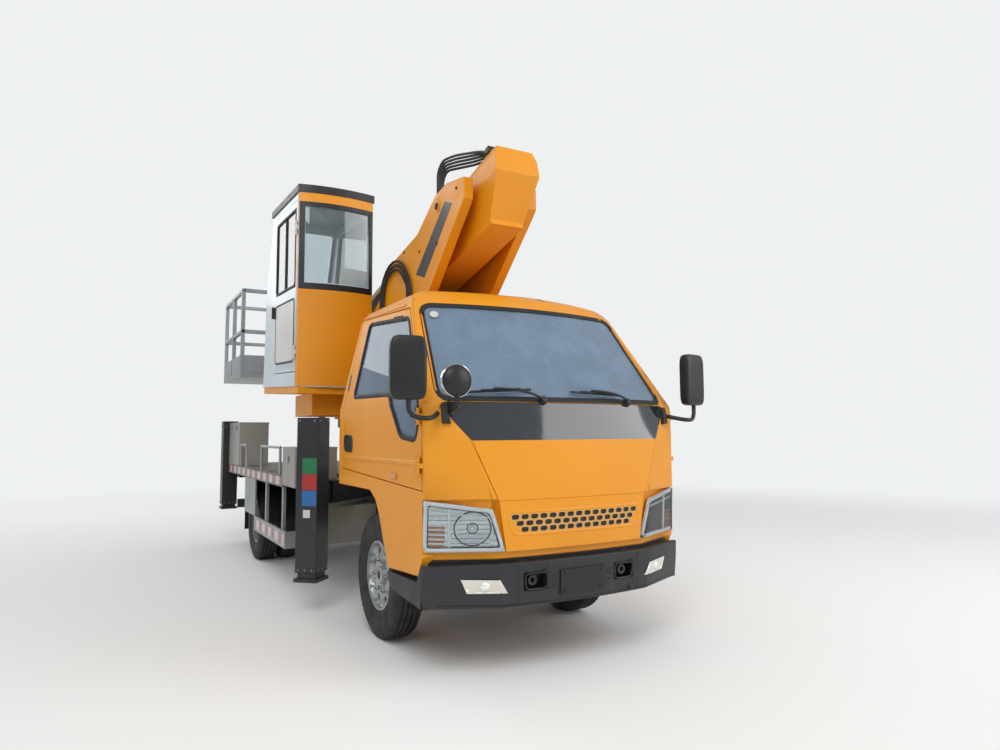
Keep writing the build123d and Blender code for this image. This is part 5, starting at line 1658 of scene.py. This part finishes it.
@dataclass(frozen=True)
class Boom:
    """The telescopic boom: u runs along it from the pivot, and v is square to it and up."""

    pivot_y: float = 160.0
    pivot_z: float = 2920.0
    slope: float = 13.5
    half: float = 165.0
    flat: float = 125.0
    over: float = 138.0
    under: float = 348.0
    # Where the sides are widest, counted down from the top
    widest: tuple = (95, 210)
    wall: float = 9.0
    gap: float = 10.0
    tail: float = -660.0
    mouth: float = 4415.0
    stage_start: float = 260.0
    stage_step: float = 40.0
    mouth_step: float = 60.0
    plate_inner: float = 215.0
    boss_bore: float = 40.5
    boss_radius: float = 90.0
    eye_u: float = 3000.0
    eye_v: float = -420.0
    lug_x: float = 42.0
    lug_depth: float = 28.0
    # The lugs: half their length at the tube and at their foot, and how far that lies under the eye
    lug: tuple = (130, 60, 55)
    # How far ahead of the tail's end its corners lie, from the top down, and the inside's end wall
    tail_steps: tuple = (100, 6, 4, 0.1, 0, 224, 220)
    end_wall: float = 284.0
    # The bolts on the tail: from the first to the last, how many, and how far from the tube's edge
    tail_bolts: tuple = (140, 420, 4)
    bolt_edge: float = 22.0
    # The head's cheek plates, (u, v), after their two corners under the tube's roof
    cheek: tuple = ((4640, 100), (4700, 100), (4700, 10), (4560, -270),
                    (4420, -270))
    cheek_roof: tuple = (4420, 4600)
    cheek_x: float = 60.0
    cheek_depth: float = 16.0
    # The head's pin: both ends across, towards the right, and its radius
    head_pin: tuple = (-100, 340, 30)
    head_u: float = 4660.0
    head_v: float = 60.0
    label: tuple = oblong(760, 2280, -57, 33)

    def build(self) -> None:
        """Make the boom's tubes, bolts and labels."""
        self.base()
        self.stages()
        self.fittings()

    def spot(self, points: Sequence) -> np.ndarray:
        """Turn places (across, u, v) into points in metres.

        y is the pivot's plus u cos(slope) + v sin(slope), and z the pivot's less u sin(slope) plus
        v cos(slope).

        Args:
            points: The places.

        Returns:
            The points.
        """
        x, u, v = np.asarray(points, float).reshape(-1, 3).T
        cosine, sine = np.cos(radians(self.slope)), np.sin(radians(self.slope))
        return np.stack([x * MM, behind(self.pivot_y + u * cosine + v * sine),
                         (self.pivot_z - u * sine + v * cosine) * MM], 1)

    def flank(self) -> np.ndarray:
        """The left half of the tube's section.

        Returns:
            Its corners, (across, v), from the bottom up.
        """
        upper, lower = self.widest
        return np.array([(self.flat, -self.under), (self.half, self.over - lower),
                         (self.half, self.over - upper), (self.flat, self.over)])

    def ring(self, u: float, inset: float) -> np.ndarray:
        """The tube's eight corners at a place along it, drawn in by an inset, in metres."""
        section = drawn_in(np.concatenate([self.flank(), self.flank()[::-1] * (-1, 1)]), inset)
        return self.spot(np.insert(section, 1, u, axis=1))

    def base(self) -> None:
        """The first tube with its slanted tail, bosses and lugs.

        Seen from the side the tail is a run of heights v, each with its own u. Each ring point at such a
        height lies at that u, half the section's width there from the middle.
        """
        upper, lower = self.widest
        tail_v = np.array([self.over, self.over - 28, self.over - upper, self.over - lower,
                           self.over - lower - 4, -self.under + 33, -self.under])
        tail_u = self.tail + np.array(self.tail_steps)
        half, height = self.flank().T
        left = np.stack([np.interp(tail_v, height, half), tail_u, tail_v], 1)
        front = left.copy()
        front[:, 1] = self.mouth
        loops = [self.spot(np.concatenate([loop, (loop * (-1, 1, 1))[::-1]])) for loop in (left, front)]
        count = len(tail_v)
        made = Builder()
        made.add(np.concatenate(loops), grid_faces(2, 2 * count, close_columns=True)
                 + [(i, i + 1, 2 * count - 2 - i, 2 * count - 1 - i) for i in range(count - 1)])
        inside = np.concatenate([self.ring(self.tail + self.end_wall, self.wall),
                                 self.ring(self.mouth, self.wall)])
        made.add(inside, grid_faces(2, 8, close_columns=True) + [tuple(range(8))])
        lip = np.concatenate([self.ring(self.mouth, 0.0), self.ring(self.mouth, self.wall)])
        made.add(lip, grid_faces(2, 8, close_columns=True))
        pivot, eye = self.spot([(0, 0, 0), (0, self.eye_u, self.eye_v)])
        start, reach = self.half - 4, self.plate_inner - 6
        for side in Side:
            made.turned([(start, self.boss_bore), (start, self.boss_radius), (reach - 3, self.boss_radius),
                         (reach, self.boss_radius - 3), (reach, self.boss_bore)], pivot, side.way)
            long, short, drop = self.lug
            lug = [(self.eye_u - long, -self.under + 3), (self.eye_u - short, self.eye_v - drop),
                   (self.eye_u + short, self.eye_v - drop), (self.eye_u + long, -self.under + 3)]
            made.prism(self.spot([(side.value * self.lug_x, u, v) for u, v in lug]),
                       side.way * self.lug_depth * MM)
            made.disc(self.lug_x, self.lug_x + 34, 28, eye, side.way)
        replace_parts(made.finish("boom_base_shell", BODY_ENAMEL, "boom_base", 30, 5), "boom_base")

    def stages(self) -> None:
        """The three tubes that slide out, each inside the one before, and the last one's head."""
        for number, name in enumerate(("boom_stage_2", "boom_stage_3", "boom_tip"), 1):
            inset = number * (self.wall + self.gap)
            start = self.stage_start + self.stage_step * number
            end = self.mouth + self.mouth_step * number
            rings = [self.ring(start, inset), self.ring(end, inset), self.ring(end, inset + self.wall),
                     self.ring(start, inset + self.wall)]
            made = Builder().add(np.concatenate(rings), grid_faces(4, 8, close_rows=True, close_columns=True))
            if name == "boom_tip":
                roof = self.over - inset - self.wall
                cheek = [*((u, roof) for u in self.cheek_roof), *self.cheek]
                for side in Side:
                    made.prism(self.spot([(side.value * self.cheek_x, u, v) for u, v in cheek]),
                               side.way * self.cheek_depth * MM)
                head = self.spot([(0, self.head_u, self.head_v)])[0]
                made.disc(*self.head_pin, head, Side.RIGHT.way, 40)
            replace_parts(made.finish(f"{name}_shell", BODY_ENAMEL, name, 30, 2.5), name)

    def fittings(self) -> None:
        """Bolts along the tail's plate and blank dark labels on the boom's sides."""
        bolts, labels = Builder(), Builder()
        up = np.array([0.0, np.sin(radians(self.slope)), np.cos(radians(self.slope))])
        first, last, count = self.tail_bolts
        for u in np.linspace(self.tail + first, self.tail + last, count):
            for x in (-self.flat + self.bolt_edge, self.flat - self.bolt_edge):
                bolts.bolt(self.spot([(x, u, self.over)])[0], up, 9, 7)
        bolts.finish("tail_bolts", ZINC, "boom_base", 30)
        for side in Side:
            x = side.value * (self.half + LABEL_LIFT_MM)
            labels.prism(self.spot([(x, u, v) for u, v in self.label]), side.way * LABEL_MM * MM)
        labels.finish("boom_blank_labels", DARK_VINYL, "boom_base", None)


@dataclass(frozen=True)
class Column:
    """The slewing column with its plates, lift cylinder and hoses. Outlines are seen from the side."""

    body: str = "turntable"
    plate_x: float = 287.0
    # Each pin: behind the front axle, up, its radius and how far it stands out
    pins: tuple = ((160, 2920, 27, 12), (500, 2300, 30, 3))
    bolts: tuple = ((797, 2728), (485, 2662), (169, 2649), (-150, 2960))
    label: tuple = ((558, 2500), (392, 2446), (-85, 2875), (40, 2921))

    def build(self) -> None:
        """Dress the column and cylinder and add pins, bolts and labels."""
        softened("turntable", BODY_ENAMEL, 4, 45)
        dress_nodes(JACK_ENAMEL, "lift_barrel")
        dress_nodes(HARD_CHROME, "lift_rod")
        dress_nodes(HOSE_RUBBER, "column_hoses", "boom_hoses")
        pins, labels = Builder(), Builder()
        for side in Side:
            x = side.value * self.plate_x
            for y, z, radius, proud in self.pins:
                pins.disc(0, proud, radius, place(x, y, z), side.way, 40, radius * 0.94)
            for y, z in self.bolts:
                pins.bolt(place(x, y, z), side.way, 11, 6)
            outline = [place(x + side.value * LABEL_LIFT_MM, y, z) for y, z in self.label]
            labels.prism(outline, side.way * LABEL_MM * MM)
        pins.finish("column_pins", CAST_IRON, self.body, 30)
        labels.finish("column_blank_labels", DARK_VINYL, self.body, None)


@dataclass(frozen=True)
class OperatorCabin:
    """The operator's cabin: enamel walls, black roof and bands, glass, seat and the door's furniture.

    Heights are those at the cabin's front. They rise by the tilt for each millimetre behind it.
    """

    body: str = "turntable"
    left: float = -300.0
    right: float = -950.0
    front_y: float = 1530.0
    floor: float = 1685.0
    top: float = 3345.0
    tilt: float = 0.05
    sill: float = 2510.0
    sill_band: float = 52.0
    lintel: float = 3262.0
    lintel_band: float = 38.0
    posts: tuple = (46, 34)
    pane: tuple = ((1635, 2550), (1635, 3216), (2370, 3216), (2370, 2550))
    pane_bar: tuple = ((2000, 2550), (2000, 3216))
    lower_frame: tuple = ((1650, 1900), (1650, 2440), (2370, 2440), (2370, 1900))
    lower_panel: tuple = oblong(1660, 2360, 1910, 2430)
    handle: tuple = ((2398, 2440), (2398, 2330))
    # The hinge plates: both ends, their middles' heights and half their height
    hinge: tuple = (1592, 1650)
    hinge_heights: tuple = (1973, 3038)
    hinge_half: float = 40.0
    corner_post: tuple = (1536, 1574)

    def build(self) -> None:
        """Dress the cabin and add its trim."""
        softened("operator_cabin", CABIN_ENAMEL, 6, 80, zones=((ROOF_PLATE, self.is_roof),))
        softened("operator_door", CABIN_ENAMEL, 3)
        dress_nodes(CLEAR_GLASS, "operator_glass", "operator_door_glass")
        softened("operator_seat", CAB_VINYL, 20)
        self.front()
        self.door()
        self.post()

    def raised(self, y: float | np.ndarray, z: float) -> float | np.ndarray:
        """A height of the cabin's front, raised with its tilt to a place behind."""
        return z + (y - self.front_y) * self.tilt

    def is_roof(self, middles: np.ndarray) -> np.ndarray:
        """Which faces belong to the roof: those whose middle lies above the walls."""
        y = middles[:, 1] / MM - behind(0.0) / MM
        return middles[:, 2] / MM > self.raised(y, self.top) - 0.8

    def front(self) -> None:
        """The black bands and posts round the front glass, and the yellow panels below and above it."""
        spot = Skin("operator_cabin", panes=("operator_glass",)).front
        low, high = self.right + 3, self.left - 3
        near, far = self.posts
        black, yellow = Builder(), Builder()
        for z0, z1 in ((self.sill, self.sill + self.sill_band),
                       (self.lintel - self.lintel_band, self.lintel)):
            black.patch(oblong(low, high, z0, z1), spot, Sheet(7, 12, (2, 24)))
        for x0, x1 in ((low, low + near), (high - far, high)):
            corners = oblong(x0, x1, self.sill + self.sill_band - 2, self.lintel - self.lintel_band + 2)
            black.patch(corners, spot, Sheet(6, 10, (8, 3)))
        black.finish("operator_screen_frame", BLACK_ABS, self.body, bevel=2)
        for z0, z1, rows in ((self.floor + 6, self.sill, 4), (self.lintel, self.top - 4, 2)):
            yellow.patch(oblong(low, high, z0, z1), spot, Sheet(4, 6, (rows, 24)))
        yellow.finish("operator_front_panel", BODY_ENAMEL, self.body, bevel=1.5)

    def door(self) -> None:
        """Seals round the door's panes, its lower panel, its handle and its yellow hinge plates."""
        skin = Skin("operator_door", panes=("operator_door_glass",))
        spot = skin.beside(Side.RIGHT, self.tilt, self.front_y)
        seal = Builder().bead(rounded(self.pane, 40), spot, Strip(26, 5, sunk=9))
        seal.bead(self.pane_bar, spot, Strip(22, 5, sunk=9), closed=False)
        seal.bead(rounded(self.lower_frame, 50), spot, Strip(18, 4))
        seal.bead(self.handle, spot, Strip(22, 34), closed=False)
        seal.finish("operator_door_trim", SEAL_RUBBER, "operator_door")
        Builder().patch(self.lower_panel, spot, Sheet(1.2, 2, (4, 6))).finish(
            "operator_door_lower_panel", PALE_VINYL, "operator_door", 30)
        hinges = Builder()
        for z in self.hinge_heights:
            hinges.patch(oblong(*self.hinge, z - self.hinge_half, z + self.hinge_half), spot,
                         Sheet(6, 8, (2, 2)))
        hinges.finish("operator_hinge_plates", BODY_ENAMEL, "operator_door", 30)

    def post(self) -> None:
        """The yellow corner post at the wall's front edge."""
        corners = oblong(*self.corner_post, self.floor + 6, self.top - 4)
        outline = [place(self.right - 1, y, self.raised(y, z)) for y, z in corners]
        Builder().prism(outline, Side.RIGHT.way * MM).finish("operator_corner_post", BODY_ENAMEL, self.body,
                                                             None)


@dataclass(frozen=True)
class Bucket:
    """The work bucket of aluminium members."""

    inner: float = -353.0
    outer: float = -1053.0
    front: float = 3650.0
    rear: float = 4835.0
    floor: float = 1918.0
    top: float = 2896.0
    middle: float = 2400.0
    kick: float = 240.0
    tube: float = 40.0
    floor_depth: float = 50.0
    plate: float = 4.0
    # The bracket's ring on the boom's head: its two ends along the head's pin, its bore and its radius
    ring: tuple = (137, 352.5, 30.5, 80)
    # The bracket's plate: how far it runs forward, back and down from the pin, and its thickness
    bracket: tuple = (150, 120, 40, 30)
    boom: Boom = Boom()

    def build(self) -> None:
        """Make the frame, the kick plates and floor, and the bracket on the boom's head."""
        rails, sheets = Builder(), Builder()
        t = self.tube
        deck, kick = self.floor + self.floor_depth, self.floor + self.kick
        for x in (self.outer, self.inner - t):
            for y in (self.front, (self.front + self.rear - t) / 2, self.rear - t):
                rails.box(place(x, y, deck - 4), place(x + t, y + t, self.top - t / 2))
            rails.box(place(x, self.front, self.top - t), place(x + t, self.rear, self.top))
            rails.box(place(x + 2, self.front, self.middle), place(x + t - 2, self.rear, self.middle + t))
        for x in (self.outer, self.inner - self.plate):
            sheets.box(place(x, self.front + t, deck), place(x + self.plate, self.rear - t, kick))
        for y, sheet_y in ((self.front, self.front), (self.rear - t, self.rear - self.plate)):
            for z in (self.middle, self.top - t):
                rails.box(place(self.outer + t / 2, y, z), place(self.inner - t / 2, y + t, z + t))
            sheets.box(place(self.outer + t, sheet_y, deck),
                       place(self.inner - t, sheet_y + self.plate, kick))
        sheets.box(place(self.outer, self.front, self.floor), place(self.inner, self.rear, deck))
        head = self.boom.spot([(0, self.boom.head_u, self.boom.head_v)])[0]
        near, far, bore, radius = self.ring
        sheets.turned([(near, bore), (near, radius), (far, radius), (far, bore)], head, Side.RIGHT.way)
        along, up = (head[1] - behind(0.0)) / MM, head[2] / MM
        ahead, back, down, depth = self.bracket
        sheets.box(place(self.inner, along - ahead, up - down),
                   place(self.inner + depth, along + back, kick))
        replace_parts(rails.finish("bucket_rails", MILL_ALUMINIUM, "bucket", 30, 5), "bucket")
        sheets.finish("bucket_sheets", MILL_ALUMINIUM, "bucket", 30, 2)


@dataclass(frozen=True)
class Studio:
    """Camera at the photograph's angle, pale floor and plain soft light, in metres and degrees."""

    lens_px: float = 699.5
    width_px: float = 1000.0
    sensor_mm: float = 36.0
    heading: float = 29.5
    pitch: float = 4.77
    roll: float = -0.3
    eye: tuple = (-2.327, -6.1945, 1.287)
    floor_reach: float = 90.0
    clear_radius: float = 5.0
    fade_radius: float = 13.0
    floor_paint: str = "#F3F3F1"
    backdrop: str = "#EEF0F1"
    sky: str = "#E8EAEC"
    sky_strength: float = 0.72
    aim: tuple = (0, 0, 1.4)
    lamp_size: float = 6.0
    lamps: tuple = (("key", (-5, -9, 9), 460), ("fill", (6, -8, 5), 300),
                    ("back", (-4, 9, 7), 220))

    def build(self) -> None:
        """Set camera, floor, light and view."""
        self.camera()
        self.floor()
        self.world()
        self.light()
        bpy.context.scene.view_settings.view_transform = "Standard"

    def camera(self) -> None:
        """The photograph's camera, solved from the truck's sizes."""
        data = bpy.data.cameras.new("Camera")
        camera = bpy.data.objects.new("Camera", data)
        bpy.context.scene.collection.objects.link(camera)
        data.sensor_width = self.sensor_mm
        data.lens = self.sensor_mm * self.lens_px / self.width_px
        data.clip_end = 300.0
        turn = (Matrix.Rotation(radians(-self.heading), 4, "Z")
                @ Matrix.Rotation(radians(90 + self.pitch), 4, "X")
                @ Matrix.Rotation(radians(self.roll), 4, "Z"))
        camera.matrix_world = Matrix.Translation(self.eye) @ turn
        bpy.context.scene.camera = camera

    def floor(self) -> None:
        """A pale floor that keeps the shadow and fades into the backdrop's colour away from the truck."""
        mesh = bpy.data.meshes.new("floor")
        reach = self.floor_reach
        mesh.from_pydata([(-reach, -reach, 0), (reach, -reach, 0), (reach, reach, 0), (-reach, reach, 0)],
                         [], [(0, 1, 2, 3)])
        floor = bpy.data.objects.new("floor", mesh)
        bpy.context.scene.collection.objects.link(floor)
        material = bpy.data.materials.new("pale_floor_paint")
        material.use_nodes = True
        tree = material.node_tree
        tree.nodes.clear()
        spot = add_node(tree, "TexCoord").outputs["Object"]
        away = add_node(tree, "VectorMath", {"operation": "LENGTH"}, {0: spot}).outputs["Value"]
        fade = add_node(tree, "MapRange",
                        {"interpolation_type": "SMOOTHSTEP", "From Min": self.clear_radius,
                         "From Max": self.fade_radius, "To Min": 0, "To Max": 1}, {"Value": away})
        path = add_node(tree, "LightPath")
        seen = add_node(tree, "Math", {"operation": "MULTIPLY"},
                        {0: fade.outputs["Result"], 1: path.outputs["Is Camera Ray"]})
        paint = add_node(tree, "BsdfDiffuse", {"Color": linear(self.floor_paint)})
        glow = add_node(tree, "Emission", {"Color": linear(self.backdrop), "Strength": 1})
        both = add_node(tree, "MixShader",
                        links={0: seen.outputs[0], 1: paint.outputs[0], 2: glow.outputs[0]})
        add_node(tree, "OutputMaterial", links={"Surface": both.outputs[0]})
        mesh.materials.append(material)

    def world(self) -> None:
        """A soft neutral sky, which the camera and the glass see as the backdrop's colour."""
        world = bpy.data.worlds.new("World")
        bpy.context.scene.world = world
        world.use_nodes = True
        tree = world.node_tree
        tree.nodes.clear()
        path = add_node(tree, "LightPath")
        seen = add_node(tree, "Math", {"operation": "MAXIMUM"},
                        {0: path.outputs["Is Camera Ray"], 1: path.outputs["Is Transmission Ray"]})
        sky = add_node(tree, "Background",
                       {"Color": linear(self.sky), "Strength": self.sky_strength})
        wall = add_node(tree, "Background", {"Color": linear(self.backdrop), "Strength": 1})
        both = add_node(tree, "MixShader",
                        links={0: seen.outputs[0], 1: sky.outputs[0], 2: wall.outputs[0]})
        add_node(tree, "OutputWorld", links={"Surface": both.outputs[0]})

    def light(self) -> None:
        """A broad key lamp from the front right and two fills, all turned to the truck's middle."""
        for name, spot, energy in self.lamps:
            data = bpy.data.lights.new(name, "AREA")
            data.energy = energy
            data.size = self.lamp_size
            lamp = bpy.data.objects.new(name, data)
            bpy.context.scene.collection.objects.link(lamp)
            turn = (Vector(self.aim) - Vector(spot)).to_track_quat("-Z", "Y")
            lamp.matrix_world = Matrix.Translation(spot) @ turn.to_matrix().to_4x4()


def main() -> None:
    """Build every sub-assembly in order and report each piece."""
    logging.basicConfig(level=logging.INFO, format="%(message)s")
    for part in (Studio(), Chassis(), Wheels(), Cab(), Column(), Boom(), OperatorCabin(), Bucket()):
        known = set(bpy.data.objects.keys())
        part.build()
        for name in sorted(set(bpy.data.objects.keys()) - known):
            LOG.info("%s: %s", type(part).__name__, name)


if __name__ == "__main__":
    main()
